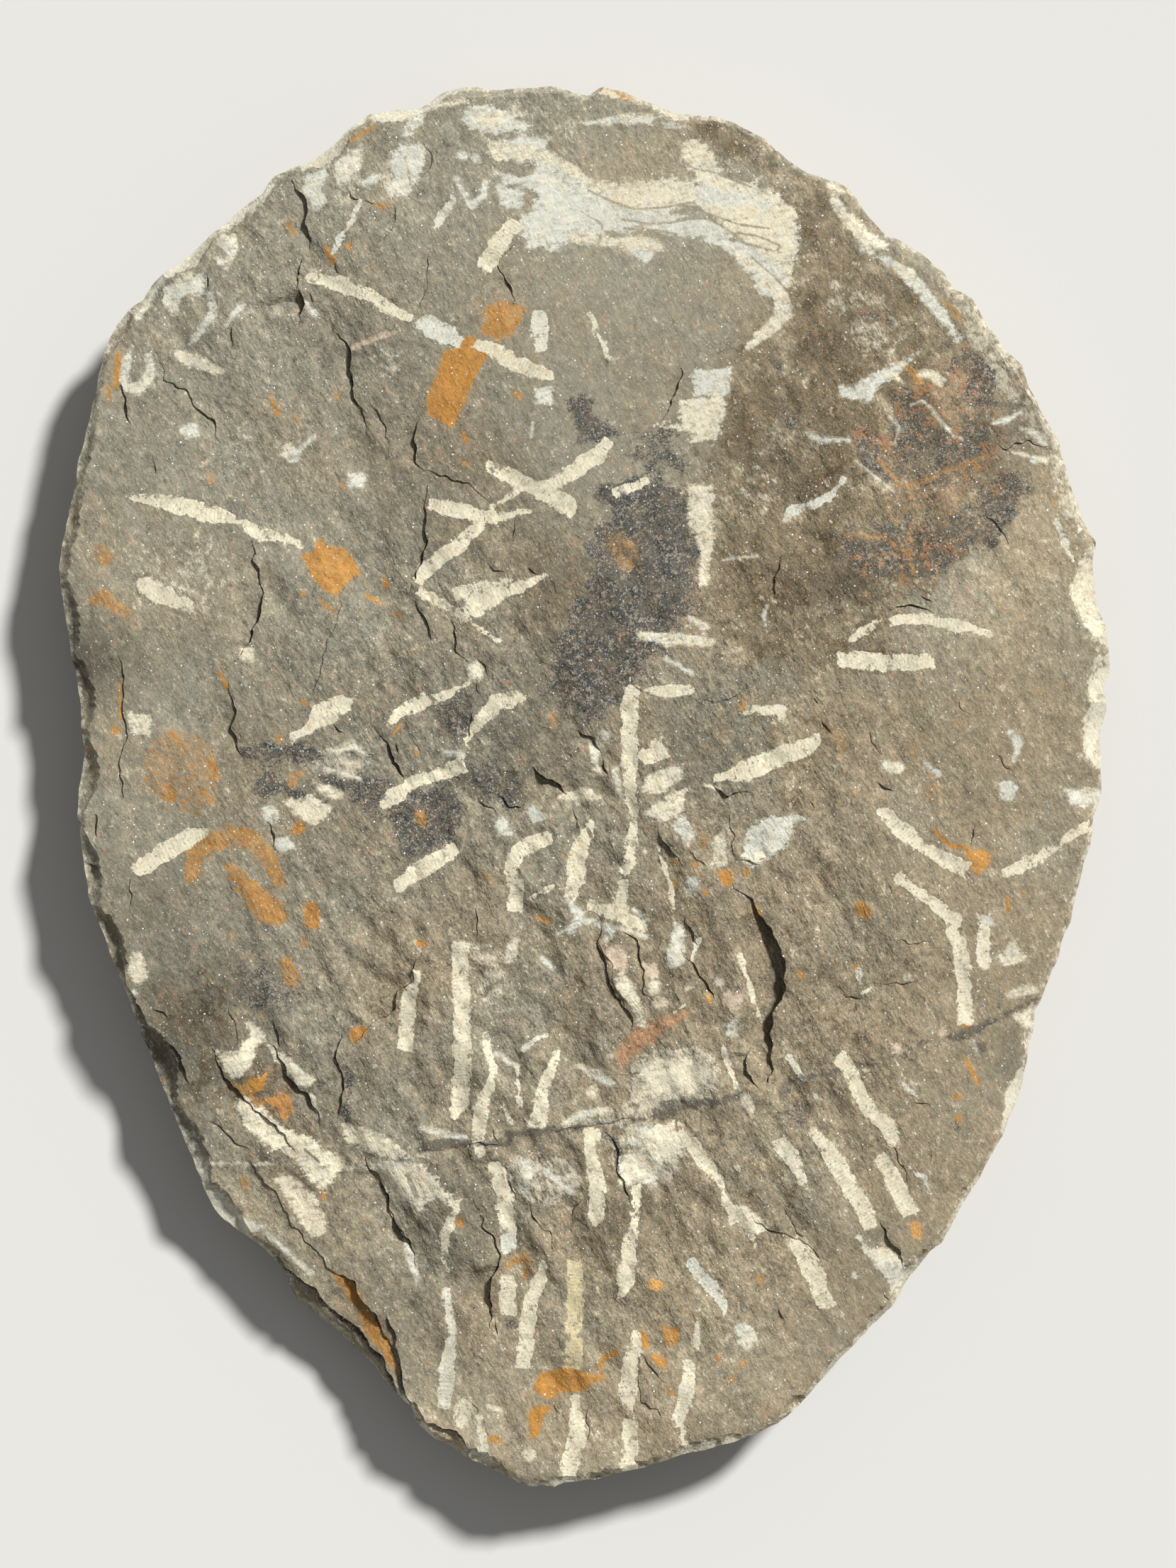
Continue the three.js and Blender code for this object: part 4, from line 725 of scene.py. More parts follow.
def outline_depth(points, corners):
    """Depth inside a closed outline, negative outside."""
    away = np.full(len(points), 1e3)
    inside = np.zeros(len(points), bool)
    x, y = points.T
    for a, b in zip(corners, np.roll(corners, -1, axis=0)):
        step = b - a
        part = np.clip((points - a) @ step / (step @ step), 0, 1)
        away = np.minimum(away, np.hypot(*(points - a - part[:, None] * step).T))
        crosses = (a[1] > y) != (b[1] > y)
        if b[1] != a[1]:
            inside ^= crosses & (x < a[0] + (y - a[1]) * step[0] / step[1])
    return np.where(inside, away, -away)


MARGIN = 3.0  # mm round a mark in which points are measured


def measure(points, shape, margin=MARGIN, square_ends=False):
    """Points near one mark, their depth in it and how far they lie along it."""
    path = on_slab(shape)
    is_line = len(shape[0]) == 3
    halves = np.array([point[2] for point in shape]) * GRID_SCALE / 2 if is_line else np.zeros(1)
    reach = margin + halves.max()
    close = ((points > path.min(0) - reach) & (points < path.max(0) + reach)).all(1)
    near = np.flatnonzero(close)
    if is_line:
        depth, run = line_depth(points[near], path, halves, square_ends)
    else:
        depth = outline_depth(points[near], path)
        run = np.zeros(len(near))
    return near, depth, run


def paint(points, marks, square_ends=False):
    """Depth in the marks, and the tone, half width and distance along the last one there."""
    depth = np.full(len(points), -MARGIN)
    tone, size, run = np.zeros((3, len(points)))
    for number, (mark_tone, shape) in enumerate(marks):
        near, here, along = measure(points, shape, square_ends=square_ends)
        wins = (here > depth[near]) | (here > 0)
        chosen = near[wins]
        depth[chosen] = np.maximum(depth[chosen], here[wins])
        size[chosen] = np.clip(here.max(initial=0.0), 0.2, 4.0)
        tone[chosen], run[chosen] = mark_tone, along[wins] + 7 * number
    return depth, tone, size, run


def wash(points, marks):
    """The strongest of a list of soft washes, between 0 and 1."""
    weight = np.zeros(len(points))
    for strength, softness, shape in marks:
        near, depth, _ = measure(points, shape, margin=softness)
        weight[near] = np.maximum(weight[near], strength * smooth(depth, -softness, softness))
    return weight


print("measured at the middle:", paint(np.zeros((1, 2)), RODS, True)[0].round(1))

# %% [markdown]
# The bedding face swells and falls by a few millimetres over the whole slab, and drops
# at every crack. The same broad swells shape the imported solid, so the stone that shows
# stays on the solid that carries it.

# %% Height of the face
SWELLS = [  # middle and reach on the grid, rise in mm
    ((430, 1800), 330, -4.2), ((880, 470), 260, 0.9), ((260, 640), 220, -1.3),
    ((520, 960), 200, 0.7), ((1250, 1150), 300, 0.9), ((1180, 1880), 220, -1.4),
    ((1480, 760), 200, -0.8), ((880, 920), 130, -0.6), ((640, 2040), 130, -1.2),
]
GRAIN_WAVE = (0.35, 74.0)  # rise and length, mm
CROSS_WAVE = (0.3, 118.0)


def swell(points, middle, reach):
    """A soft bump, 1 at its middle."""
    away = np.hypot(*(points - on_slab([middle])[0]).T) / (reach * GRID_SCALE)
    return np.exp(-away ** 2)


def broad_height(points):
    x, y = points.T
    height = SLAB_THICKNESS + sum(rise * swell(points, middle, reach) for middle, reach, rise in SWELLS)
    height += GRAIN_WAVE[0] * np.sin(2 * math.pi * (0.86 * x + 0.51 * y) / GRAIN_WAVE[1])
    return height + CROSS_WAVE[0] * np.sin(2 * math.pi * (y - 0.4 * x) / CROSS_WAVE[1] + 1.3)


def walk_along(path, step):
    """Points at even steps along an open line."""
    lengths = np.hypot(*np.diff(path, axis=0).T)
    travelled = np.concatenate([[0], np.cumsum(lengths)])
    stations = np.linspace(0, travelled[-1], max(2, int(round(travelled[-1] / step)) + 1))
    return np.column_stack([np.interp(stations, travelled, path[:, axis]) for axis in (0, 1)])


def all_breaks():
    """All lines in one form: low side, drop, reach, far drop, bend of the floor, and the line."""
    cracks = [
        (angle, depth * CRACK_DEPTH, max(2.4, depth * CRACK_REACH), -0.25 * depth * CRACK_DEPTH, 0.0, line)
        for angle, depth, line in CRACKS]
    valleys = [(angle, drop, reach, -0.01, bend, line) for angle, drop, bend, reach, line in VALLEYS]
    rim_breaks = [(angle, drop, reach, far, 0.0, line) for angle, drop, reach, far, line in RIM_BREAKS]
    for number, (angle, drop, reach, far, bend, line) in enumerate(cracks + rim_breaks + valleys):
        side = np.array([math.cos(math.radians(angle)), math.sin(math.radians(angle))])
        path = walk_along(on_slab(line), 0.7)
        wobble = 1.1 * roughness(path, 4.2, 200 + number, 3) + 0.5 * roughness(path, 1.3, 300 + number, 1)
        yield side, drop, reach, far, bend, path + side * wobble[:, None]


END_SHARE = 0.2  # how much of a drop is left at the two ends of a line
VALLEY_FLOOR = 0.42  # a valley is deepest at this share of its width
BEYOND = 1.7  # a rim break goes on falling to this many times its reach


def break_depth(points):
    """How far the cracks lower the face, and how far each point lies below a crack's lip."""
    lowered = np.zeros(len(points))
    lip = np.full(len(points), 9.0)
    for number, (side, drop, reach, far, bend, path) in enumerate(all_breaks()):
        wide = reach * (BEYOND if far > 0 else 1)
        close = ((points > path.min(0) - wide - 1) & (points < path.max(0) + wide + 1)).all(1)
        near = np.flatnonzero(close)
        to_end = np.minimum(np.arange(len(path)), np.arange(len(path))[::-1])
        ends = END_SHARE + (1 - END_SHARE) * smooth(to_end, 0, (0.3 if far < 0 else 0.1) * len(path))
        if far < 0 and bend == 0:
            ends *= np.clip(0.85 + 1.1 * roughness(path, 5, 400 + number, 2), 0.3, 1.3)
        for a, b, share_a, share_b in zip(path[:-1], path[1:], ends[:-1], ends[1:]):
            step = b - a
            turn = step[0] * side[1] - step[1] * side[0]
            from_a = points[near] - a
            part = (from_a[:, 0] * side[1] - from_a[:, 1] * side[0]) / turn
            out = (step[0] * from_a[:, 1] - step[1] * from_a[:, 0]) / turn
            share = share_a + (share_b - share_a) * part
            length = reach * (share if far < 0 else 1) + 0.2
            hit = (part >= 0) & (part <= 1) & (out >= 0) & (out <= (length if far < 0 else wide))
            far_drop = far if far < 0 else far * share
            depth = drop * share + (far_drop - drop * share) * out / length
            way = out / length
            depth += bend * share * np.minimum(way / VALLEY_FLOOR, (1 - way) / (1 - VALLEY_FLOOR))
            chosen = near[hit]
            lowered[chosen] = np.maximum(lowered[chosen], depth[hit])
            if bend == 0:  # no painted shadow is laid in a valley
                lip[chosen] = np.minimum(lip[chosen], out[hit] / max(drop, 0.3))
    return lowered, lip


COARSE = [  # where the face is splintery rather than smooth: middle, reach and amount
    ((880, 1150), 330, 1.0), ((1000, 1500), 330, 0.9), ((520, 1560), 260, 0.8),
    ((430, 430), 230, 0.6), ((560, 980), 260, 0.6), ((900, 1850), 250, 0.5),
    ((1200, 700), 220, 0.5), ((880, 500), 190, -0.6), ((1300, 1880), 160, -0.7),
    ((1440, 1500), 120, -0.5),
]


def coarseness(points):
    amount = 0.45 + sum(part * swell(points, middle, reach) for middle, reach, part in COARSE)
    return np.clip(amount, 0.15, 1.25)


def stairs(levels):
    """Rounded treads with steep risers, one unit high."""
    base = np.floor(levels)
    part = levels - base
    return base + 0.3 * part + 0.7 * smooth(part, 0.78, 1.0)


SHEET, FLAKE, DENT, SPLINTER, DUST = 0.32, 0.26, 0.27, 0.21, 0.07  # heights in mm


def fine_height(points):
    """Sheets that end in low steps, and the dents and splinters between them."""
    rough = coarseness(points)
    field = roughness(points, 17, 11, 3, stretch=1.8)
    warp = roughness(points, 5, 21, 2)
    sheets = SHEET * stairs(4.5 * field + 0.5 * warp)
    flakes = FLAKE * rough * stairs(3.2 * roughness(points, 6.5, 61, 3, stretch=2.0))
    dents = DENT * roughness(points, 6.5, 31, 3, stretch=1.7)
    splinters = SPLINTER * roughness(points, 2.4, 41, 2, stretch=2.4)
    return rough * (sheets + flakes + dents + splinters) + DUST * roughness(points, 3, 51, 2)


sample = np.random.default_rng(2).uniform(-80, 80, (4000, 2))
print("fine relief, mm:", fine_height(sample).std().round(2))
print("deepest break, mm:", break_depth(sample)[0].max().round(2))

# %% [markdown]
# The hammer that trimmed the rim left a row of scallops: each blow took a flake off the
# upper edge, and more flakes off the side below. Scallops are spaced unevenly along the
# outline by seeded numbers, with a few large ones put where the real slab has them.

# %% The rim and its scallops
RIM_STEP = 0.95  # mm between points of the rim
RIM_ZONE = 11  # mm, how far in from the rim the distance to it is measured


def walk_round(corners, step):
    """Points at even steps round a closed outline."""
    closed = np.vstack([corners, corners[:1]])
    lengths = np.hypot(*np.diff(closed, axis=0).T)
    travelled = np.concatenate([[0], np.cumsum(lengths)])
    stations = np.linspace(0, travelled[-1], int(travelled[-1] / step), endpoint=False)
    return np.column_stack([np.interp(stations, travelled, closed[:, axis]) for axis in (0, 1)])


def ring_average(values, width):
    """Values round a ring, each the mean of its neighbours."""
    total = sum(np.roll(values, shift, axis=0) for shift in range(-width, width + 1))
    return total / (2 * width + 1)


def outward_of(ring, width=3):
    tangent = ring_average(np.roll(ring, -2, axis=0) - np.roll(ring, 2, axis=0), width)
    normal = np.column_stack([tangent[:, 1], -tangent[:, 0]])
    return normal / np.hypot(*normal.T)[:, None]


rim = walk_round(plan, RIM_STEP)
rim += outward_of(rim) * (0.28 * roughness(rim, 2.6, 61, 2))[:, None]
rim_length = RIM_STEP * len(rim)

BIG_SCALLOPS = [  # place on the grid, half length, bite and drop in mm
    ((1543, 842), 10, 5.2, 3.2), ((1556, 955), 8, 4.0, 2.6), ((1552, 1030), 9, 4.2, 2.8),
    ((1550, 1122), 6, 6.5, 1.6), ((1458, 1440), 7, 2.4, 2.4), ((1436, 1545), 8, 2.6, 1.8),
    ((1280, 1806), 8, 2.2, 2.4), ((1225, 318), 9, 3.0, 2.2), ((1290, 352), 7, 2.6, 2.0),
    ((1130, 240), 7, 3.4, 2.0), ((1050, 183), 8, 3.0, 1.8), ((455, 216), 8, 2.6, 2.2),
    ((392, 252), 6, 2.4, 2.4), ((340, 297), 8, 2.4, 2.0), ((270, 362), 8, 2.2, 2.0),
    ((206, 418), 7, 2.8, 2.2), ((165, 462), 7, 2.4, 2.4), ((120, 640), 9, 2.0, 2.2),
    ((96, 740), 9, 2.4, 2.4), ((92, 870), 9, 2.6, 2.6), ((108, 980), 9, 3.0, 2.6),
    ((112, 1100), 9, 3.4, 2.8), ((120, 1230), 9, 3.2, 2.6), ((150, 1330), 9, 3.4, 3.0),
    ((215, 1500), 11, 4.4, 3.4), ((262, 1618), 11, 3.4, 3.0), ((306, 1714), 9, 4.0, 3.0),
    ((680, 2066), 8, 2.2, 2.2), ((800, 2092), 7, 1.4, 1.6), ((560, 158), 9, 2.2, 2.0),
    ((680, 127), 10, 1.8, 2.0), ((960, 164), 8, 2.0, 1.8),
]
SCALLOP_COUNT = 74


def scallop_list():
    """Every scallop: where it is along the rim, its half length, bite and drop, and paleness."""
    for number, (place, half, bite, drop) in enumerate(BIG_SCALLOPS):
        at = np.argmin(np.hypot(*(rim - on_slab([place])[0]).T)) * RIM_STEP
        yield at, half, bite, drop, 0.5 + 0.5 * (number % 3) / 2
    places = (np.arange(SCALLOP_COUNT) + scatter(SCALLOP_COUNT, 71, -0.35, 0.35)) / SCALLOP_COUNT
    halves = scatter(SCALLOP_COUNT, 72, 3.0, 8.0)
    bites = scatter(SCALLOP_COUNT, 73, 0.7, 2.1)
    drops = scatter(SCALLOP_COUNT, 74, 0.8, 2.4)
    pale = scatter(SCALLOP_COUNT, 75)
    yield from zip(places * rim_length, halves, bites, drops, pale)


def rim_place(points):
    """Distance to the rim and the place along it, for points near the rim."""
    away = np.full(len(points), 99.0)
    along = np.zeros(len(points))
    corners = walk_round(rim, 3.0)
    step_length = rim_length / len(corners)
    for number, (a, b) in enumerate(zip(corners, np.roll(corners, -1, axis=0))):
        near = np.flatnonzero((np.abs(points - a) < RIM_ZONE).all(1))
        if len(near) == 0:
            continue
        step = b - a
        part = np.clip((points[near] - a) @ step / (step @ step), 0, 1)
        here = np.hypot(*(points[near] - a - part[:, None] * step).T)
        wins = here < away[near]
        chosen = near[wins]
        away[chosen] = here[wins]
        along[chosen] = (number + part[wins]) * step_length
    return away, along


EDGE_ROUND = 1.3  # mm, width of the worn edge between the scallops


def scallop_depth(away, along):
    """How far the scallops lower the rim, and how freshly broken each point is."""
    worn = 1.5 * np.clip(1 - away / EDGE_ROUND, 0, 1) ** 1.6
    depth = worn
    fresh = 0.35 * (worn > 0.05)
    for at, half, bite, drop, pale in scallop_list():
        offset = np.abs(along - at)
        offset = np.minimum(offset, rim_length - offset) / half
        edge = bite * np.clip(1 - offset ** 2, 0, 1)
        hit = (away < edge) & (edge > 0.05)
        part = np.where(hit, away / np.maximum(edge, 0.05), 1)
        here = np.where(hit, drop * np.sqrt(np.clip(1 - part ** 1.5, 0, 1)) * (0.35 + 0.65 * edge / bite), 0)
        fresh = np.where(here > depth, pale, fresh)
        depth = np.maximum(depth, here)
    return depth, fresh


print(len(rim), "rim points,", len(list(scallop_list())), "scallops, rim", round(rim_length), "mm long")

# %% [markdown]
# The face is triangulated from scattered points. An even grid of points 0.9 mm apart
# carries the relief, and every crack adds two rows of points a tenth of a millimetre
# apart, one on its lip and one at its foot, so that it falls in a sheer wall. Blender's
# constrained Delaunay triangulation joins them all inside the outline of the rim.

# %% Points and triangles of the face
FACE_STEP = 0.92  # mm between the points of the face
LIP_GAP = 0.06  # mm from a crack's line to its lip and to its foot
THIN_LINE = 11  # grid units: thinner marks get points of their own


def even_rows(spacing, low, high):
    """Points of a triangular grid over a rectangle."""
    rows = np.arange(low[1], high[1], spacing * math.sqrt(3) / 2)
    columns = np.arange(low[0], high[0], spacing)
    x, y = np.meshgrid(columns, rows)
    x[1::2] += spacing / 2
    return np.column_stack([x.ravel(), y.ravel()])


def feature_lines():
    """Rows of points that the triangles must follow."""
    for side, _, _, _, _, path in all_breaks():
        yield path - LIP_GAP * side
        yield path + LIP_GAP * side
    for _, shape in RODS + BRUISES + RUST + HOLES:
        if len(shape[0]) == 3 and max(point[2] for point in shape) <= THIN_LINE:
            yield walk_along(on_slab(shape), 0.8)


def crowded(points, taken, gap):
    """Which points lie closer than the gap to a taken one."""
    cell = gap
    keys = {}
    for number, (x, y) in enumerate(np.floor(taken / cell).astype(int)):
        keys.setdefault((x, y), []).append(number)
    result = np.zeros(len(points), bool)
    for number, (x, y) in enumerate(np.floor(points / cell).astype(int)):
        for shift_x in (-1, 0, 1):
            for shift_y in (-1, 0, 1):
                for other in keys.get((x + shift_x, y + shift_y), ()):
                    if math.dist(points[number], taken[other]) < gap:
                        result[number] = True
    return result


def triangulate(outline, lines, spacing, keep_clear):
    """Triangles inside an outline that follow the given lines."""
    points = [outline]
    edges = []
    count = len(outline)
    for line in lines:
        edges += [(count + i, count + i + 1) for i in range(len(line) - 1)]
        points.append(line)
        count += len(line)
    taken = np.vstack(points)
    grid = even_rows(spacing, outline.min(0), outline.max(0))
    grid += np.random.default_rng(81).uniform(-0.12, 0.12, grid.shape) * spacing
    grid = grid[outline_depth(grid, outline[::3]) > 0.55 * spacing]
    grid = grid[~crowded(grid, taken, keep_clear)]
    every = np.vstack([taken, grid])
    loop = [list(range(len(outline)))]
    places, _, triangles, origins, _, _ = delaunay_2d_cdt(
        [Vector(point) for point in every.tolist()], edges, loop, 1, 1e-5)
    return np.array([(place.x, place.y) for place in places]), np.array(triangles), origins


face_points, face_triangles, _ = triangulate(rim, list(feature_lines()), FACE_STEP, 0.45)
print("face:", len(face_points), "points,", len(face_triangles), "triangles")

# %% [markdown]
# Each point of the face now gets its height: the broad swells, the fine relief, the
# cracks, the scallops of the rim, and the shallow beds of the rods. The pale films have
# almost no thickness, so only the rods are let into the stone.

# %% Heights of the face
ROD_BED = 0.16  # mm, how deep a rod lies in the stone
RIM_LOWEST = 6.5  # mm, the face never falls below this at the rim
HIGHEST = 20.8  # mm, the face flattens towards this height

rods, rod_tone, _, rod_run = paint(face_points, RODS, square_ends=True)
away, rim_run = rim_place(face_points)
chipped, fresh_rim = scallop_depth(away, rim_run)
lowered, lip = break_depth(face_points)
calm = smooth(away, 0.2, 3.0)
face_z = broad_height(face_points) + calm * fine_height(face_points)
face_z -= lowered + ROD_BED * smooth(rods, 0.0, 0.9)
face_z = np.maximum(face_z - chipped, RIM_LOWEST)
over = np.maximum(face_z - HIGHEST + 1.0, 0.0)
face_z += np.tanh(over) - over
print("face height, mm:", face_z.min().round(1), "to", face_z.max().round(1))

# %% [markdown]
# Below the rim the slab breaks in four thick laminae, each with a ragged edge of its own
# and a joint under it that wavers. They are rings of points that copy the rim, moved in
# and out and down, with flake scars taken out of them. The underside is one flat plane,
# only slightly uneven, so that the slab rests on it as the solid does.

# %% Sides and underside
LAMINAE = [  # from and to in mm, inset, unevenness, waver of the lower joint
    (0.0, 2.9, 2.2, 3.2, 0.0),
    (3.1, 7.6, 1.0, 2.6, 1.6),
    (7.9, 12.4, 0.3, 1.8, 2.4),
    (12.9, 17.2, 0.0, 0.2, 1.2),
]
TOP_OF_LAMINAE = 17.2
RING_PARTS = (0.0, 0.33, 0.72, 1.0)  # rings of one lamina, from its foot to its edge
SIDE_SCARS = 26
UNDER_STEP = 3.0  # mm between the points of the underside


def rim_loop(triangles):
    """The ring of boundary points of a set of triangles, counter-clockwise from above."""
    sides = np.vstack([triangles[:, [0, 1]], triangles[:, [1, 2]], triangles[:, [2, 0]]])
    known = {tuple(side) for side in sides.tolist()}
    following = {a: b for a, b in known if (b, a) not in known}
    ring = [min(following)]
    while following[ring[-1]] != ring[0]:
        ring.append(following[ring[-1]])
    return np.array(ring)


loop = rim_loop(face_triangles)
rim_points = face_points[loop]
rim_heights = face_z[loop]
rim_normals = outward_of(rim_points, 12)
rim_steps = np.hypot(*(np.roll(rim_points, -1, axis=0) - rim_points).T)
rim_travel = np.concatenate([[0], np.cumsum(rim_steps)[:-1]])
rim_whole = rim_steps.sum()


def ragged(size, seed):
    """Uneven values between 0 and 1 round the rim, with stretches of the given size."""
    circle = rim_whole / (2 * math.pi)
    angle = rim_travel / circle
    ring = circle * np.column_stack([np.cos(angle), np.sin(angle)])
    return np.clip(0.5 + 0.8 * roughness(ring, size, seed, 3, angle=0.0), 0, 1)


def scar_inset(heights):
    """How far the flake scars of the side go in at each point of a ring."""
    inset = np.zeros(len(loop))
    places = (np.arange(SIDE_SCARS) + scatter(SIDE_SCARS, 91, -0.4, 0.4)) / SIDE_SCARS * rim_whole
    halves = scatter(SIDE_SCARS, 92, 6, 13)
    middles = scatter(SIDE_SCARS, 93, 3, 13)
    talls = scatter(SIDE_SCARS, 94, 4, 8)
    bites = scatter(SIDE_SCARS, 95, 1.2, 3.4)
    for place, half, middle, tall, bite in zip(places, halves, middles, talls, bites):
        offset = np.abs(rim_travel - place)
        offset = np.minimum(offset, rim_whole - offset) / half
        bowl = 1 - offset ** 2 - ((heights - middle) / tall) ** 2
        inset = np.maximum(inset, bite * np.clip(bowl, 0, 1) ** 0.6)
    return inset


def side_rings():
    """Rings of points from the rim down to the resting plane."""
    shares = rim_heights / max(TOP_OF_LAMINAE, rim_heights.max())
    for number in range(len(LAMINAE) - 1, -1, -1):
        low, high, inset, uneven, waver = LAMINAE[number]
        upper_waver = LAMINAE[number + 1][4] if number + 1 < len(LAMINAE) else 0.0
        foot = low + waver * (ragged(14, 110 + number) - 0.5)
        edge = high + upper_waver * (ragged(14, 111 + number) - 0.5)
        inside = inset + uneven * ragged(9, 120 + number) + 0.5 * ragged(2.5, 130 + number)
        for part in RING_PARTS[::-1]:
            heights = (foot + (edge - foot) * part) * shares
            hollow = 0.5 * math.sin(math.pi * part) * ragged(4, 140 + number)
            worn = 0.35 * uneven * (part == 1.0)
            grit = 0.3 * (ragged(2.0, 150 + 7 * number + int(10 * part)) - 0.5)
            depth = np.maximum(inside + hollow + worn + grit + scar_inset(heights), 0.0)
            shallow = smooth(rim_heights - heights, 0.0, 2.5)
            ring = rim_points - rim_normals * (depth * shallow)[:, None]
            ring = ring + (ring_average(ring, 2) - ring) * smooth(depth, 1.5, 4.0)[:, None]
            yield ring, heights


rings = list(side_rings())
count = len(loop)
side_points = np.vstack([ring for ring, _ in rings])
side_z = np.concatenate([heights for _, heights in rings])
first_side = len(face_points)
ring_numbers = [loop] + [first_side + number * count + np.arange(count) for number in range(len(rings))]
side_faces = []
for upper, lower in zip(ring_numbers[:-1], ring_numbers[1:]):
    after = np.roll(upper, -1), np.roll(lower, -1)
    side_faces.append(np.column_stack([upper, lower, after[1]]))
    side_faces.append(np.column_stack([upper, after[1], after[0]]))
side_faces = np.vstack(side_faces)
print("side:", len(rings), "rings,", len(side_faces), "triangles")

foot_ring = rings[-1][0]
under_points, under_triangles, under_from = triangulate(foot_ring, [], UNDER_STEP, 1.5)
on_foot = np.array([origin[0] if origin and origin[0] < count else -1 for origin in under_from])
first_under = first_side + len(side_points)
fresh = np.flatnonzero(on_foot < 0)
under_numbers = np.where(on_foot >= 0, ring_numbers[-1][np.maximum(on_foot, 0)], 0)
under_numbers[fresh] = first_under + np.arange(len(fresh))
under_faces = under_numbers[under_triangles][:, ::-1]
new_under = under_points[fresh]
hollows = smooth(outline_depth(new_under, foot_ring[::6]), 0, 6)
under_z = hollows * np.clip(0.25 + 0.5 * roughness(new_under, 16, 97, 3), 0, 0.6)
print("underside:", len(fresh), "points,", len(under_faces), "triangles")

# %% [markdown]
# The three parts share their border points, so they join into one closed skin. It is
# shaded smooth, and split only where two triangles meet at a sharp angle: at the lips of
# the cracks, the scallops and the laminae. What each point knows of the marks is stored
# beside it, one number for each kind of mark.

# %% One closed mesh
SHARP_ANGLE = 34  # degrees
MILLIMETRE = 0.001

points_xy = np.vstack([face_points, side_points, new_under])
points_z = np.concatenate([face_z, side_z, under_z])
triangles = np.vstack([face_triangles, side_faces, under_faces])
corners = np.column_stack([points_xy, points_z]) * MILLIMETRE

mesh = bpy.data.meshes.new("shale_slab")
mesh.from_pydata(corners.tolist(), [], triangles.tolist())
mesh.validate()
mesh.shade_smooth()
mesh.set_sharp_from_angle(angle=math.radians(SHARP_ANGLE))
shale_slab = bpy.data.objects.new("shale_slab", mesh)
bpy.context.scene.collection.objects.link(shale_slab)


def open_edges(triangles):
    sides = np.sort(np.vstack([triangles[:, [0, 1]], triangles[:, [1, 2]], triangles[:, [2, 0]]]), axis=1)
    _, uses = np.unique(sides, axis=0, return_counts=True)
    return int((uses != 2).sum())


print("mesh:", len(mesh.vertices), "points,", len(mesh.polygons), "triangles, open edges",
      open_edges(triangles))


# %% What each point knows
def store(name, face_values, side_values=-MARGIN):
    """Keep one number for each point: its own on the face, one value elsewhere."""
    rest = len(points_z) - len(face_points)
    values = np.concatenate([face_values, np.broadcast_to(side_values, rest)])
    mesh.attributes.new(name, "FLOAT", "POINT").data.foreach_set("value", values.astype(np.float32))


TONES_AND_PAINTED_SHADING = [  # darker or lighter parts of the slab, partly the stone's own tone and partly painted shade and painted light where slopes and rim facets face from or towards the lamp, and a valley's shadow: middle, reach and amount
    ((270, 1420), 170, -0.34), ((600, 780), 240, -0.16), ((560, 1060), 190, -0.2),
    ((500, 1620), 190, -0.12), ((1080, 1330), 170, -0.08), ((110, 930), 70, -0.62),
    ((700, 1180), 160, -0.06), ((830, 330), 160, 0.06), ((1330, 1500), 200, 0.02),
    ((560, 480), 180, -0.08), ((780, 830), 70, -0.22), ((780, 1040), 70, -0.24),
    ((1110, 620), 90, -0.22), ((995, 1050), 80, -0.32), ((1430, 600), 70, -0.2),
    ((640, 2040), 120, 0.3), ((240, 620), 120, -0.06), ((660, 1705), 70, -0.26),
    ((885, 1705), 70, -0.36), ((560, 1870), 90, -0.24), ((665, 650), 80, -0.1),
    ((1210, 820), 60, -0.38), ((885, 1430), 90, -0.14), ((1440, 1490), 70, -0.2),
    ((1215, 680), 80, 0.3), ((1105, 390), 80, 0.14), ((1110, 860), 90, 0.2),
    ((1430, 810), 90, 0.28), ((450, 1370), 80, 0.2), ((330, 1715), 60, 0.4),
    ((335, 1270), 70, 0.18), ((225, 820), 80, 0.14), ((1105, 1045), 60, 0.2),
    ((900, 2030), 80, 0.2), ((990, 1930), 80, 0.12), ((330, 600), 90, 0.14),
    ((445, 710), 80, 0.16), ((885, 275), 90, 0.2), ((1090, 1375), 28, -0.3),
    ((225, 1485), 60, -0.22), ((225, 1265), 60, -0.18), ((995, 2035), 50, -0.22), ((225, 605), 60, -0.12),
    ((1105, 945), 50, -0.18), ((335, 715), 60, -0.12), ((225, 935), 60, -0.12), ((775, 935), 60, -0.13),
    ((830, 830), 60, -0.12), ((335, 1045), 60, -0.12), ((445, 1595), 60, -0.14), ((335, 1375), 60, -0.1),
    ((995, 1595), 50, -0.1), ((665, 825), 60, 0.2), ((1435, 715), 60, 0.16), ((555, 880), 70, 0.14),
    ((555, 275), 50, 0.12), ((885, 715), 50, 0.1), ((1215, 1440), 80, 0.12), ((1105, 1375), 60, 0.06),
    ((1435, 1210), 80, 0.1), ((445, 1815), 50, 0.12), ((665, 1155), 50, 0.14), ((665, 2035), 50, 0.1),
    ((1360, 850), 60, 0.2), ((1170, 850), 55, -0.22), ((1035, 845), 40, -0.12), ((1325, 625), 60, 0.12),
    ((1215, 935), 50, -0.1),
    ((445, 495), 50, -0.1), ((445, 1700), 50, -0.1), ((995, 2045), 40, -0.1), ((775, 1265), 50, -0.1),
    ((1435, 605), 50, -0.1), ((885, 830), 50, -0.1),
]
DULL_AND_SHADED_RIM = [  # parts of the rim with less pale dust, on the left as painted shade where the rim faces away from the lamp: middle, reach and amount
    ((100, 900), 170, 1.0), ((150, 1290), 170, 0.9), ((260, 1560), 120, 0.7), ((1300, 370), 150, 1.0),
    ((1450, 560), 150, 1.0), ((1090, 200), 110, 0.7), ((1520, 1250), 130, 0.7), ((130, 620), 150, 0.5),
]
WARMER = np.array([0.004, -0.0026])  # a mm: the stone is browner to the right and down the slab

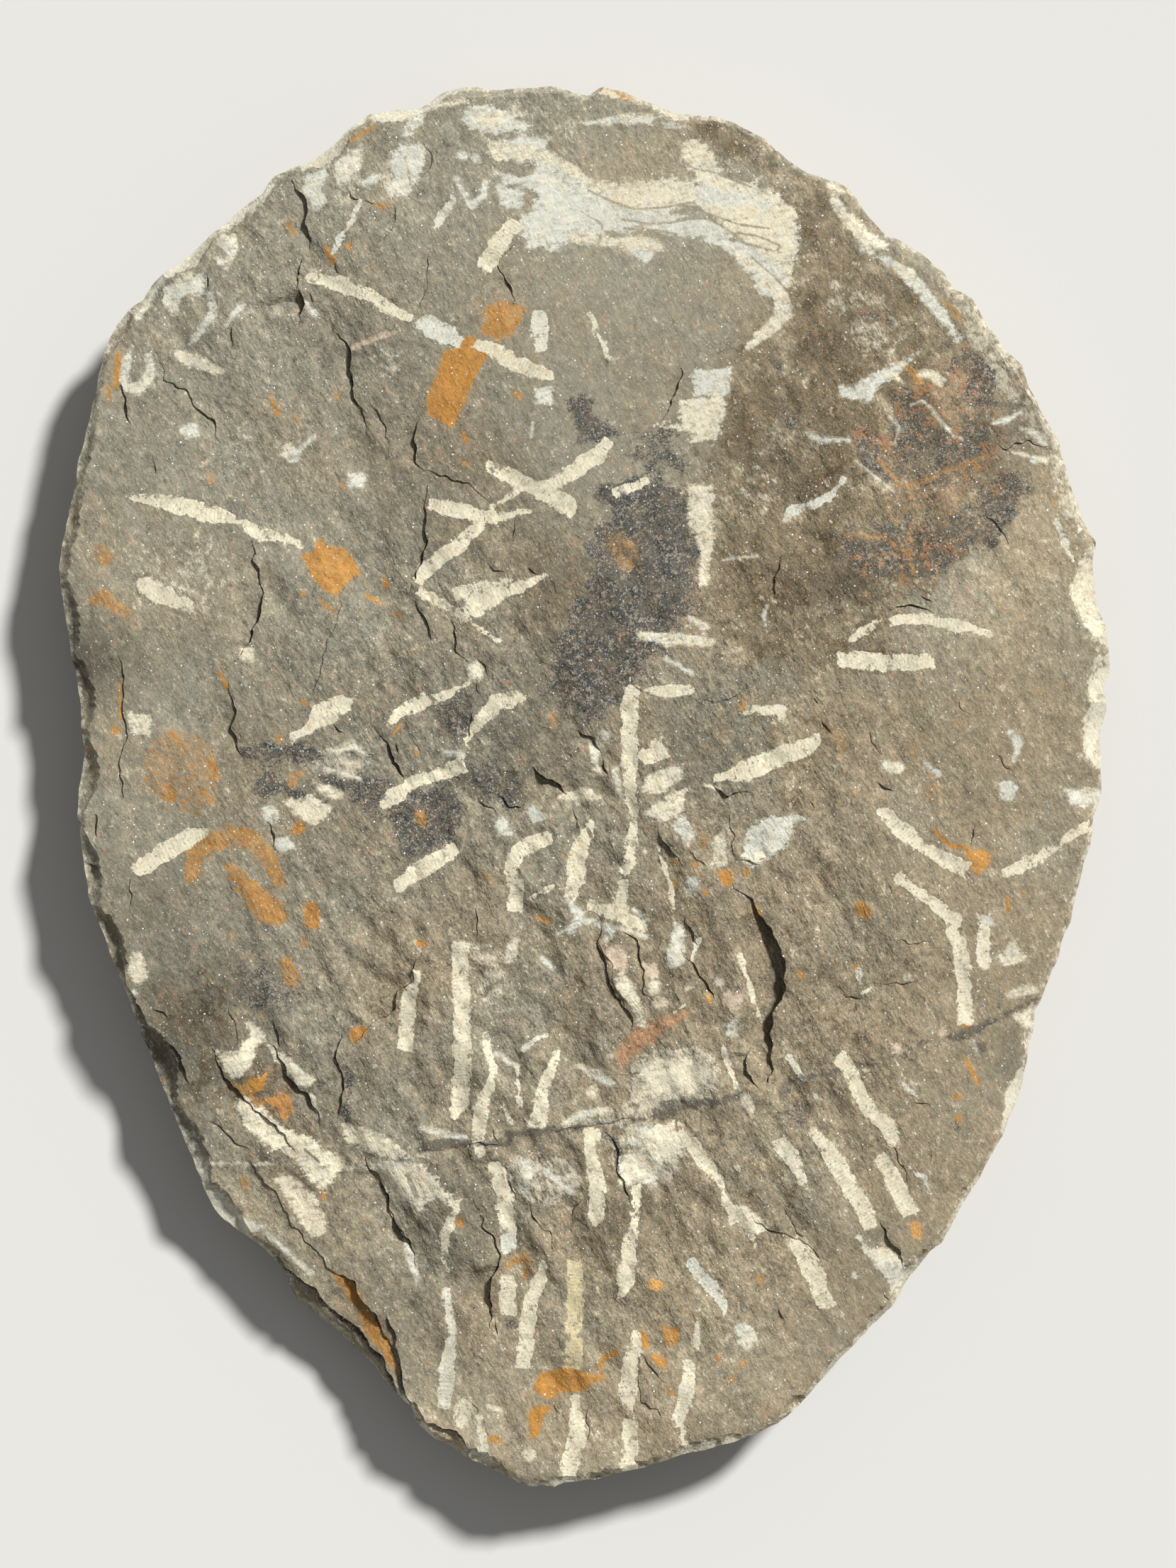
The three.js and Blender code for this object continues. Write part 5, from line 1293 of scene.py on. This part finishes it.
bruise, bruise_tone, bruise_size, _ = paint(face_points, BRUISES)
hole, _, _, _ = paint(face_points, HOLES)
rust, rust_glow, rust_size, _ = paint(face_points, RUST)
warm = np.clip(0.5 + points_xy @ WARMER, 0, 1)
# the stored shade: the stone's own tone together with painted shade and painted light
shade = 1 + sum(part * swell(points_xy, middle, reach) for middle, reach, part in TONES_AND_PAINTED_SHADING)
# less pale dust on the rim there, partly as painted shade
dull_and_shaded_rim = sum(part * swell(face_points, middle, reach) for middle, reach, part in DULL_AND_SHADED_RIM)
for name, values in (("rod", rods), ("bruise", bruise), ("hole", hole), ("rust", rust)):
    store(name, values)
for name, values in (
    ("rod_tone", rod_tone), ("rod_run", rod_run), ("bruise_tone", bruise_tone), ("bruise_size", bruise_size),
    ("rust_glow", rust_glow), ("rust_size", rust_size), ("rim", away), ("drop", np.minimum(lowered, 5.0)),
    ("fresh", fresh_rim * np.clip(1 - 1.2 * dull_and_shaded_rim, 0.0, 1.0)),
):
    store(name, values, 0.0)
for name, marks in (("stain_and_shade", STAINS_AND_PAINTED_SHADE), ("brown_and_shade", BROWNS_AND_PAINTED_SHADE), ("vein", VEINS), ("haze", HAZES), ("red", REDS)):
    store(name, wash(face_points, marks), 0.0)
for name, values in (("shade", shade), ("warm", warm)):
    store(name, values[:len(face_points)], values[len(face_points):])
store("coarse", coarseness(face_points), 0.8)
store("lip", lip, 9.0)
store("side", np.zeros(len(face_points)), 1.0)
print("stored:", [item.name for item in mesh.attributes if item.data_type == "FLOAT"])

# %% [markdown]
# The finish is made of nodes, and reads like arithmetic: a small class stands for one
# socket with a factor and an offset, so that sums and products with numbers cost nothing,
# and adding or multiplying two of them adds one Math node. Colours are mixed by Mix nodes,
# and one method makes any other node from its type, its settings and its inputs.


# %% Sockets as numbers
class Value:
    """A node's output times a factor plus an offset: numbers change only these two."""

    def __init__(self, finish, socket, factor=1.0, offset=0.0):
        self.finish = finish
        self.socket = socket
        self.factor = factor
        self.offset = offset

    def maths(self, operation, *values, clamp=False):
        node = self.finish.node(
            "ShaderNodeMath", {"operation": operation, "use_clamp": clamp}, dict(enumerate(values)))
        return Value(self.finish, node.outputs[0])

    def bare(self):
        """The output alone, without its factor and offset."""
        return Value(self.finish, self.socket)

    def plain(self, clamp=False):
        """The same value as the output of one node."""
        if (self.factor, self.offset, clamp) == (1, 0, False):
            return self
        return self.maths("MULTIPLY_ADD", self.bare(), self.factor, self.offset, clamp=clamp)

    def clamp(self):
        return self.plain(clamp=True)

    def __add__(self, other):
        if not isinstance(other, Value):
            return Value(self.finish, self.socket, self.factor, self.offset + other)
        total = self.maths("MULTIPLY_ADD", self.bare(), self.factor / other.factor, other.bare())
        return total * other.factor + (self.offset + other.offset)

    __radd__ = __add__

    def __mul__(self, other):
        if not isinstance(other, Value):
            return Value(self.finish, self.socket, self.factor * other, self.offset * other)
        one, two = (value.plain() if value.offset else value for value in (self, other))
        return self.maths("MULTIPLY", one.bare(), two.bare()) * (one.factor * two.factor)

    __rmul__ = __mul__

    def __sub__(self, other):
        return self + other * -1

    def __rsub__(self, other):
        return self * -1 + other

    def at_least(self, other):
        return self.maths("MAXIMUM", self, other)

    def at_most(self, other):
        return self.maths("MINIMUM", self, other)

    def sine(self):
        return self.maths("SINE", self)

    def size(self):
        return self.maths("ABSOLUTE", self)

    def step(self, low, high):
        """0 below low and 1 above high, with an easy slope between."""
        node = self.finish.node("ShaderNodeMapRange", {"interpolation_type": "SMOOTHSTEP"}, {
            "Value": self.bare(), "From Min": (low - self.offset) / self.factor,
            "From Max": (high - self.offset) / self.factor})
        return Value(self.finish, node.outputs["Result"])


class Finish:
    """One material and the nodes in it."""

    def __init__(self, name):
        self.material = bpy.data.materials.new(name)
        self.material.use_nodes = True
        self.tree = self.material.node_tree
        self.tree.nodes.clear()

    def node(self, kind, settings=None, inputs=None):
        """Any node: its settings first, then the values or links of its sockets."""
        node = self.tree.nodes.new(kind)
        for name, setting in (settings or {}).items():
            setattr(node, name, setting)
        for name, value in (inputs or {}).items():
            if isinstance(value, Value):
                self.tree.links.new(value.plain().socket, node.inputs[name])
            else:
                node.inputs[name].default_value = value
        return node

    def out(self, node, name=0):
        return Value(self, node.outputs[name])

    def known(self, name):
        """What each point of the mesh knows."""
        return self.out(self.node("ShaderNodeAttribute", {"attribute_name": name}), "Fac")

    def noise(self, place, size, detail=2.0, rough=0.5, twist=0.0):
        """Cloudy noise round 0, mostly between -2 and 2, with patches of the given size in mm."""
        node = self.node("ShaderNodeTexNoise", {}, {
            "Vector": place, "Scale": 1 / size, "Detail": detail, "Roughness": rough,
            "Distortion": twist})
        return self.out(node, "Fac") * 15 - 7.5

    def mix(self, share, below, above, blend="MIX"):
        """A colour over another, by a share between 0 and 1."""
        node = self.node("ShaderNodeMix", {"data_type": "RGBA", "blend_type": blend}, {
            0: share, 6: below, 7: above})
        return self.out(node, 2)

    def shade(self, colour, amount):
        """A colour made lighter or darker by a factor that changes over the surface."""
        if isinstance(colour, tuple):
            colour = colour[:3]
        node = self.node("ShaderNodeVectorMath", {"operation": "SCALE"}, {0: colour, "Scale": amount})
        return self.out(node, 0)


def tone(red, green, blue):
    """A colour from its three screen values, 0 to 255, as the light it reflects."""
    def linear(value):
        part = value / 255
        return part / 12.92 if part <= 0.04045 else ((part + 0.055) / 1.055) ** 2.4
    return (linear(red), linear(green), linear(blue), 1.0)


print("cream reflects", [round(part, 2) for part in tone(212, 202, 172)[:3]])

# %% [markdown]
# Shale is a hardened mud full of mica. Its ground is grey-brown with a fine salt-and-
# pepper grain, greyer at the upper left and warmer at the lower right, with patches of
# umber. The grain is stretched along the splinters of the stone, so its noise is read
# from a place that is turned and squeezed first.

# %% The ground of the stone
GREY_STONE = tone(153, 148, 129)
WARM_STONE = tone(157, 143, 117)
DUN_STONE = tone(142, 133, 109)
UMBER_STONE = tone(132, 118, 93)
DARK_UMBER = tone(90, 77, 55)
PALE_UMBER = tone(170, 158, 130)
PALE_DUST = tone(216, 209, 186)

shale = Finish("shale")
texture_place = shale.node("ShaderNodeTexCoord")
in_mm = shale.node("ShaderNodeVectorMath", {"operation": "SCALE"}, {
    0: shale.out(texture_place, "Object"), "Scale": 1 / MILLIMETRE})
place = shale.out(in_mm)
grain_turn = shale.node("ShaderNodeMapping", {"vector_type": "TEXTURE"}, {
    "Vector": place, "Rotation": (0.0, 0.0, GRAIN_ANGLE - math.pi / 2), "Scale": (1.0, 2.4, 1.0)})
grain_place = shale.out(grain_turn)

side = shale.known("side")
face_share = 1 - side.step(0.05, 0.6)
coarse = shale.known("coarse")
brown_and_shade = shale.known("brown_and_shade")

clouds = shale.noise(place, 26, 3)
drifts = shale.noise(place, 11, 4, 0.6)
patches = shale.noise(place, 5, 4, 0.65)
blotches = shale.noise(place, 1.9, 3, 0.6)
grit = shale.noise(grain_place, 0.5, 3, 0.7)
pepper = shale.noise(place, 0.34, 2, 0.6)
splinter = shale.noise(grain_place, 1.9, 4, 0.7)

ground = shale.mix((clouds * 0.2 + shale.known("warm")).clamp(), GREY_STONE, WARM_STONE)
ground = shale.mix((patches * 0.22 + 0.04 * splinter + 0.35).clamp() * 0.6, ground, DUN_STONE)
umber = (brown_and_shade + 0.13 * patches + 0.08 * blotches).step(0.22, 0.75)
ground = shale.mix(umber * 0.85, ground, UMBER_STONE)
dark_spots = (0.6 * blotches + 0.5 * grit + 0.5 * patches + 0.6 * drifts).step(0.4, 1.7) * umber
ground = shale.mix(dark_spots * 0.95, ground, DARK_UMBER)
pale_spots = (0.7 * patches + 0.12 * pepper + 0.2 * grit - 0.9 * drifts).step(0.3, 2.4) * umber
ground = shale.mix(pale_spots * 0.6, ground, PALE_UMBER)
haze = (shale.known("haze") + 0.16 * blotches + 0.12 * grit + 0.1 * patches).step(0.2, 1.0)
ground = shale.mix(haze * 0.65, ground, tone(206, 199, 176))
contrast = 0.95 + 0.75 * coarse + 0.4 * brown_and_shade
speckle = 0.066 * grit + 0.05 * pepper + 0.052 * splinter + 0.036 * blotches + 0.03 * patches
# the stored shade darkens or lightens the ground: partly the stone's own tone, partly painted shade and
# light
ground = shale.shade(ground, (1 + contrast * speckle).at_least(0.15) * shale.known("shade"))
print("ground:", len(shale.tree.nodes), "nodes")

# %% [markdown]
# Marks come next, from the deepest film to the freshest scrape. Each mask is the stored
# distance plus noise, so its edge is broken at a finer size than the mesh. Large marks
# get wide ragged edges and small ones keep their shape, which is why each point also
# knows how wide its mark is.

# %% Stains and rust
SLATE_STAIN_AND_SHADE = tone(72, 73, 70)
UMBER_STAIN_AND_SHADE = tone(104, 95, 79)
RUST_DULL = tone(170, 134, 88)
RUST_FULL = tone(190, 131, 50)
RUST_BRIGHT = tone(226, 166, 88)

stain_and_shade = shale.known("stain_and_shade")
stain_cloud = shale.noise(place, 4.6, 4, 0.75)
stain_cells = shale.noise(place, 1.1, 4, 0.7)
stain_and_shade_mask = (stain_and_shade * 1.2 + 0.2 * stain_cloud + 0.14 * stain_cells + 0.05 * grit).step(0.32, 0.7)
stain_and_shade_mask = stain_and_shade_mask * stain_and_shade.step(0.02, 0.3)
stain_and_shade_colour = shale.mix(
    (shale.noise(place, 2.6, 3, 0.7) * 0.3 + 0.25 + 0.3 * brown_and_shade).clamp(), SLATE_STAIN_AND_SHADE, UMBER_STAIN_AND_SHADE)
stain_and_shade_colour = shale.shade(stain_and_shade_colour, 1 + 0.1 * pepper + 0.1 * grit + 0.09 * stain_cells)
stain_veil = (0.92 - 0.14 * brown_and_shade + 0.1 * stain_cloud + 0.08 * stain_cells).clamp()
surface = shale.mix(stain_and_shade_mask * stain_veil, ground, stain_and_shade_colour)
crust = (0.6 * stain_cells + 0.3 * stain_cloud + 0.5 * pepper).step(0.5, 1.3) * stain_and_shade.step(0.05, 0.5)
surface = shale.mix(crust * 0.55, surface, tone(182, 176, 160))
rusty = (shale.noise(place, 2.1, 3, 0.75) + 0.3 * pepper + 0.5 * drifts).step(0.7, 1.9)
rusty = rusty * stain_and_shade.step(0.05, 0.4) * (0.08 + 0.92 * brown_and_shade.step(0.1, 0.6))
surface = shale.mix(rusty * 0.6, surface, tone(176, 128, 82))

rust = shale.known("rust")
glow = shale.known("rust_glow")
rust_size = shale.known("rust_size")
rust_noise = 0.11 * shale.noise(place, 2.2, 4, 0.7) + 0.07 * pepper
crisp = glow.step(0.42, 0.6)
rust_edge = rust + rust_noise * (0.5 + 0.8 * rust_size) * (1 - 0.75 * crisp)
rust_mask = rust_edge.step(-0.05, 0.22)
rust_colour = shale.mix(glow.step(0.15, 0.6), RUST_DULL, RUST_FULL)
rust_colour = shale.mix(glow.step(0.7, 0.95), rust_colour, RUST_BRIGHT)
rust_pink = shale.noise(place, 6, 3).step(0.2, 1.6)
rust_colour = shale.mix(rust_pink * (0.4 - 0.25 * crisp), rust_colour, tone(204, 164, 116))
rust_seams = 1 - shale.noise(grain_place, 2.6, 3, 0.7).size().step(0.0, 0.3)
rust_colour = shale.shade(
    rust_colour, 1 + 0.07 * grit + 0.05 * pepper + 0.06 * blotches - 0.3 * rust_seams)
rust_veil = glow * 1.7 + 0.2 * stain_cells + 0.25 * rust_edge.at_most(0.8)
rust_veil = rust_veil.step(0.2, 0.9)
surface = shale.mix(rust_mask * rust_veil.at_least(0.96 * crisp), surface, rust_colour)
halo = rust_edge.step(-1.4, 0.1) * glow * 0.3
surface = shale.mix(halo, surface, tone(184, 154, 112))

# %% The reddish brushings
red_mask = (shale.known("red") + 0.2 * stain_cells + 0.12 * splinter + 0.1 * grit).step(0.25, 1.0)
red_colour = shale.shade(tone(182, 132, 92), 1 + 0.12 * grit + 0.1 * stain_cells)
surface = shale.mix(red_mask * 0.7, surface, red_colour)
print("films:", len(shale.tree.nodes), "nodes")

# %% Bruises, rods and the vein
BLUE_WHITE = tone(215, 214, 198)
CREAM = tone(228, 219, 191)
YELLOW_CREAM = tone(210, 196, 154)
PINK_CREAM = tone(211, 189, 164)
VEIN_DARK = tone(92, 87, 77)

bruise = shale.known("bruise")
bruise_tone = shale.known("bruise_tone")
bruise_size = shale.known("bruise_size")
brush_turn = shale.node("ShaderNodeMapping", {"vector_type": "TEXTURE"}, {
    "Vector": place, "Rotation": (0.0, 0.0, 0.2), "Scale": (3.0, 0.8, 1.0)})
brush = shale.noise(shale.out(brush_turn), 1.1, 4, 0.75)
fray = 0.13 * shale.noise(place, 2.6, 4, 0.75) + 0.08 * brush + 0.07 * stain_cells
bruise_edge = bruise + fray * (0.35 + 0.5 * bruise_size)
scratched = (shale.known("hole") + 0.05 * stain_cells).step(-0.22, 0.12)
bruise_mask = bruise_edge.step(-0.3, 0.6) * (1 - 0.85 * scratched)
creamy = (bruise_tone + 0.03 * bruise_edge + 0.07 * shale.noise(place, 3.5, 3)).step(0.12, 0.5)
bruise_colour = shale.mix(creamy, BLUE_WHITE, CREAM)
bruise_colour = shale.mix(bruise_tone.step(0.55, 0.8), bruise_colour, PINK_CREAM)
tan_tint = shale.noise(place, 2.0, 3, 0.7).step(0.7, 2.2) * 0.45
bruise_colour = shale.mix(tan_tint * creamy, bruise_colour, tone(214, 190, 154))
bruise_colour = shale.shade(bruise_colour, 1 + 0.045 * grit + 0.03 * pepper + 0.04 * brush)
bruise_veil = (0.82 + 0.15 * stain_cells + 0.1 * brush + 0.06 * grit + 0.08 * bruise_edge).clamp()
surface = shale.mix(bruise_mask * bruise_veil, surface, bruise_colour)

rod = shale.known("rod")
rod_tone = shale.known("rod_tone")
rod_run = shale.known("rod_run")
RIB_PITCH = 0.8  # mm from one rib to the next
rod_edge = rod + 0.08 * stain_cells + 0.17 * shale.noise(place, 2.6, 3, 0.6)
rod_mask = rod_edge.step(-0.06, 0.12)
waver = 0.1 * blotches + 0.2 * shale.noise(place, 7, 2)
ribs = ((rod_run + waver) * (2 * math.pi / RIB_PITCH)).sine().step(0.2, 0.95)
rib_strength = (0.55 + 0.4 * patches).clamp()
rod_colour = shale.mix(rod_tone.step(0.05, 0.4), BLUE_WHITE, CREAM)
rod_colour = shale.mix(rod_tone.step(0.55, 0.9), rod_colour, YELLOW_CREAM)
rod_colour = shale.mix(tan_tint, rod_colour, tone(207, 180, 140))
rod_grey = shale.noise(place, 3.2, 3, 0.65).step(0.4, 2.0)
rod_colour = shale.mix(rod_grey * 0.5, rod_colour, tone(183, 177, 152))
rod_pits = (shale.noise(place, 0.6, 3, 0.7) + 0.5 * rib_strength * ribs).step(1.4, 2.6)
rod_shade = 1.03 + 0.05 * grit + 0.035 * pepper - 0.17 * ribs * rib_strength - 0.45 * rod_pits
rod_colour = shale.shade(rod_colour, rod_shade)
rod_worn = (shale.noise(place, 2.8, 3, 0.75) + 0.35 * grit + 0.9 * rod_edge).step(-1.7, -0.5)
surface = shale.mix(rod_mask * (0.2 + 0.8 * rod_worn), surface, rod_colour)
vein_mask = (shale.known("vein") + 0.15 * stain_cells + 0.12 * patches + 0.05 * pepper).step(0.3, 0.85)
surface = shale.mix(vein_mask * 0.8, surface, shale.shade(VEIN_DARK, 1 + 0.1 * pepper + 0.08 * grit))
print("marks:", len(shale.tree.nodes), "nodes")

# %% [markdown]
# The rim and the sides show the stone in section: thin dark and light sheets one over
# the other, dusted pale where the hammer crushed their edges. The depth of a crack is
# painted nearly black as painted shadow. Mica flakes are pale bright dots, each in a
# cell of its own, partly their own colour and partly painted glints, and they shine as well.

# %% Rim, sides, cracks and mica
SECTION_DARK = tone(108, 99, 82)
SECTION_LIGHT = tone(164, 155, 132)
CRACK_PAINTED_SHADOW = tone(34, 30, 24)
MICA_AND_PAINTED_GLINT = tone(255, 254, 250)

fresh = shale.known("fresh")
rim_away = shale.known("rim")
rim_dust = (fresh * 1.25 - 0.45 + 0.2 * shale.noise(place, 3.2, 3, 0.75) + 0.06 * grit).step(0.1, 0.6)
rim_dust = rim_dust * face_share * (1 - rim_away.step(3.0, 8.0))
rim_edge = 1 - (rim_away + 0.15 * stain_cells).step(0.3, 1.1)
rim_edge = rim_edge * (0.3 + 0.5 * fresh + 0.3 * blotches).clamp()
rim_dust = rim_dust.at_least(rim_edge * face_share)
surface = shale.mix(rim_dust * 0.8, surface, shale.shade(PALE_DUST, 1 + 0.06 * grit + 0.04 * pepper))

separate = shale.node("ShaderNodeSeparateXYZ", {}, {0: place})
height = shale.out(separate, "Z")
section_turn = shale.node("ShaderNodeMapping", {}, {"Vector": place, "Scale": (0.05, 0.05, 1.1)})
layers = shale.noise(shale.out(section_turn), 1.0, 4, 0.75)
section = shale.mix((layers * 0.3 + 0.5).clamp(), SECTION_DARK, SECTION_LIGHT)
section = shale.shade(section, 1 + 0.1 * grit + 0.07 * pepper + 0.06 * patches)
dusty = (shale.noise(place, 2.8, 4, 0.75) + 0.25 * layers).step(0.7, 2.0)
section = shale.mix(dusty * 0.55, section, shale.shade(PALE_DUST, 0.92 + 0.06 * grit))
fallen = shale.known("drop").step(2.2, 3.8)
surface = shale.mix((side.step(0.05, 0.6) + fallen * 0.75).clamp(), surface, section)

lip = shale.known("lip")
# the depth of every crack is painted nearly black, as painted shadow
crack_shadow_noise = 0.06 * pepper + 0.1 * patches
crack_shadow_mask = (1 - (lip + crack_shadow_noise).step(0.02, 0.32)) * face_share
surface = shale.mix(crack_shadow_mask * 0.8, surface, CRACK_PAINTED_SHADOW)


def flakes(size, share, radius):
    """Bright dots, one in each chosen cell."""
    cells = shale.node("ShaderNodeTexVoronoi", {}, {"Vector": place, "Scale": 1 / size})
    chosen = shale.out(shale.node("ShaderNodeSeparateColor", {}, {
        0: shale.out(cells, "Color")}), 0).step(1 - share, 1 - share * 0.5)
    return chosen * (1 - shale.out(cells, "Distance").step(0.0, radius / size))


# mica flakes painted near white: their own pale colour with painted glints
mica_and_glint = (2.4 * flakes(1.6, 0.45, 0.23) + 1.3 * flakes(0.75, 0.5, 0.16)).clamp() * (1 - 0.6 * side)
surface = shale.mix(mica_and_glint * (1 - 0.7 * rod_mask) * 0.9, surface, MICA_AND_PAINTED_GLINT)
print("whole colour:", len(shale.tree.nodes), "nodes")

# %% [markdown]
# Relief finer than the mesh is bump: grit, splinters, the ribs of the rods and the edges
# of thin sheets, all in millimetres. Stone is matt, rods and bruises are chalkier still,
# and only the mica is glossy.

# %% Relief, gloss and the shader
sheet_edge = shale.noise(grain_place, 5.0, 3, 0.65).step(0.0, 0.25) * 0.03
rod_form = rod.step(-0.1, 0.15)
stone_relief = 0.006 * grit + 0.003 * pepper + (0.014 * splinter + 0.014 * blotches + sheet_edge) * (
    0.5 + 1.6 * coarse)
relief = stone_relief * (1 - 0.6 * rod_form) * (1 - 0.3 * bruise.step(-0.2, 0.5))
relief = relief + (0.05 - 0.012 * ribs) * rod_form + side * (0.03 * layers + 0.02 * splinter)
bump = shale.node("ShaderNodeBump", {}, {"Height": relief, "Distance": MILLIMETRE, "Strength": 0.9})
gloss = 0.86 + 0.06 * rod_mask - 0.5 * mica_and_glint - 0.08 * stain_and_shade_mask
skin = shale.node("ShaderNodeBsdfPrincipled", {}, {
    "Base Color": surface, "Roughness": gloss, "Normal": shale.out(bump), "Specular IOR Level": 0.3})
shale.node("ShaderNodeOutputMaterial", {}, {"Surface": shale.out(skin)})
mesh.materials.append(shale.material)
print("shale finish:", len(shale.tree.nodes), "nodes")

# %% [markdown]
# The stone is one piece and nothing on it moves, so the whole mesh rides on the root body
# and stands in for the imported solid.

# %% Ride on the solid
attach(shale_slab, "root")
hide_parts("slab")
print(shale_slab.name, "measures", [round(length, 4) for length in shale_slab.dimensions], "metres")

# %% [markdown]
# The slab lies on a plain pale floor. One sun-like lamp stands high at the upper right,
# so that every lip throws a short shadow to the lower left, and a weak even sky fills
# the shadows. The camera looks straight down from well above the middle.

# %% Floor, lamp and sky
FLOOR_HALF = 1.6  # metres
FLOOR_LEVEL = -0.0002  # metres, just under the slab
LAMP_AZIMUTH = 47  # degrees from +X towards +Y
LAMP_HEIGHT = 43  # degrees above the floor
LAMP_WIDTH = 8  # degrees across, for soft shadows
LAMP_AWAY = 1.5  # metres, for its place only: a sun shines alike everywhere
LAMP_STRENGTH = 4.1
SKY_STRENGTH = 0.2
SKY_COLOUR = (0.95, 0.97, 1.0, 1.0)

floor_mesh = bpy.data.meshes.new("floor")
floor_mesh.from_pydata(
    [(x * FLOOR_HALF, y * FLOOR_HALF, FLOOR_LEVEL) for x, y in ((-1, -1), (1, -1), (1, 1), (-1, 1))],
    [], [(0, 1, 2, 3)])
floor = bpy.data.objects.new("floor", floor_mesh)
bpy.context.scene.collection.objects.link(floor)
paper = Finish("pale_floor")
paper_skin = paper.node("ShaderNodeBsdfPrincipled", {}, {
    "Base Color": tone(226, 224, 219), "Roughness": 0.9, "Specular IOR Level": 0.2})
paper.node("ShaderNodeOutputMaterial", {}, {"Surface": paper.out(paper_skin)})
floor_mesh.materials.append(paper.material)

lamp_data = bpy.data.lights.new("key_lamp", "SUN")
lamp_data.energy = LAMP_STRENGTH
lamp_data.angle = math.radians(LAMP_WIDTH)
lamp = bpy.data.objects.new("key_lamp", lamp_data)
towards = Vector((
    math.cos(math.radians(LAMP_HEIGHT)) * math.cos(math.radians(LAMP_AZIMUTH)),
    math.cos(math.radians(LAMP_HEIGHT)) * math.sin(math.radians(LAMP_AZIMUTH)),
    math.sin(math.radians(LAMP_HEIGHT))))
lamp.rotation_euler = towards.to_track_quat("Z", "Y").to_euler()
lamp.location = towards * LAMP_AWAY
bpy.context.scene.collection.objects.link(lamp)

sky = bpy.data.worlds.new("studio")
sky.use_nodes = True
glow_node = sky.node_tree.nodes["Background"]
glow_node.inputs["Color"].default_value = SKY_COLOUR
glow_node.inputs["Strength"].default_value = SKY_STRENGTH
bpy.context.scene.world = sky
bpy.context.scene.view_settings.view_transform = "Standard"
bpy.context.scene.view_settings.look = "None"
print("lamp from", [round(part, 2) for part in towards])

# %% The camera
GRID_WIDE, GRID_TALL = 1659, 2212  # the part of the grid that the frame shows
VIEW_HEIGHT = GRID_TALL * GRID_SCALE * MILLIMETRE  # metres of slab plane in the frame
VIEW_MIDDLE = on_slab([(GRID_WIDE / 2, GRID_TALL / 2)])[0] * MILLIMETRE
CAMERA_AWAY = 1.4  # metres above the face
SENSOR = 32.0
FACE_PLANE = 0.0175  # metres, the plane that the frame is measured on

camera_data = bpy.data.cameras.new("camera")
camera_data.sensor_fit = "VERTICAL"
camera_data.sensor_height = SENSOR
camera_data.lens = SENSOR * CAMERA_AWAY / VIEW_HEIGHT
camera = bpy.data.objects.new("camera", camera_data)
camera.location = (VIEW_MIDDLE[0], VIEW_MIDDLE[1], FACE_PLANE + CAMERA_AWAY)
bpy.context.scene.collection.objects.link(camera)
bpy.context.scene.camera = camera
print("camera lens", round(camera_data.lens, 1), "mm, over", VIEW_MIDDLE.round(4))
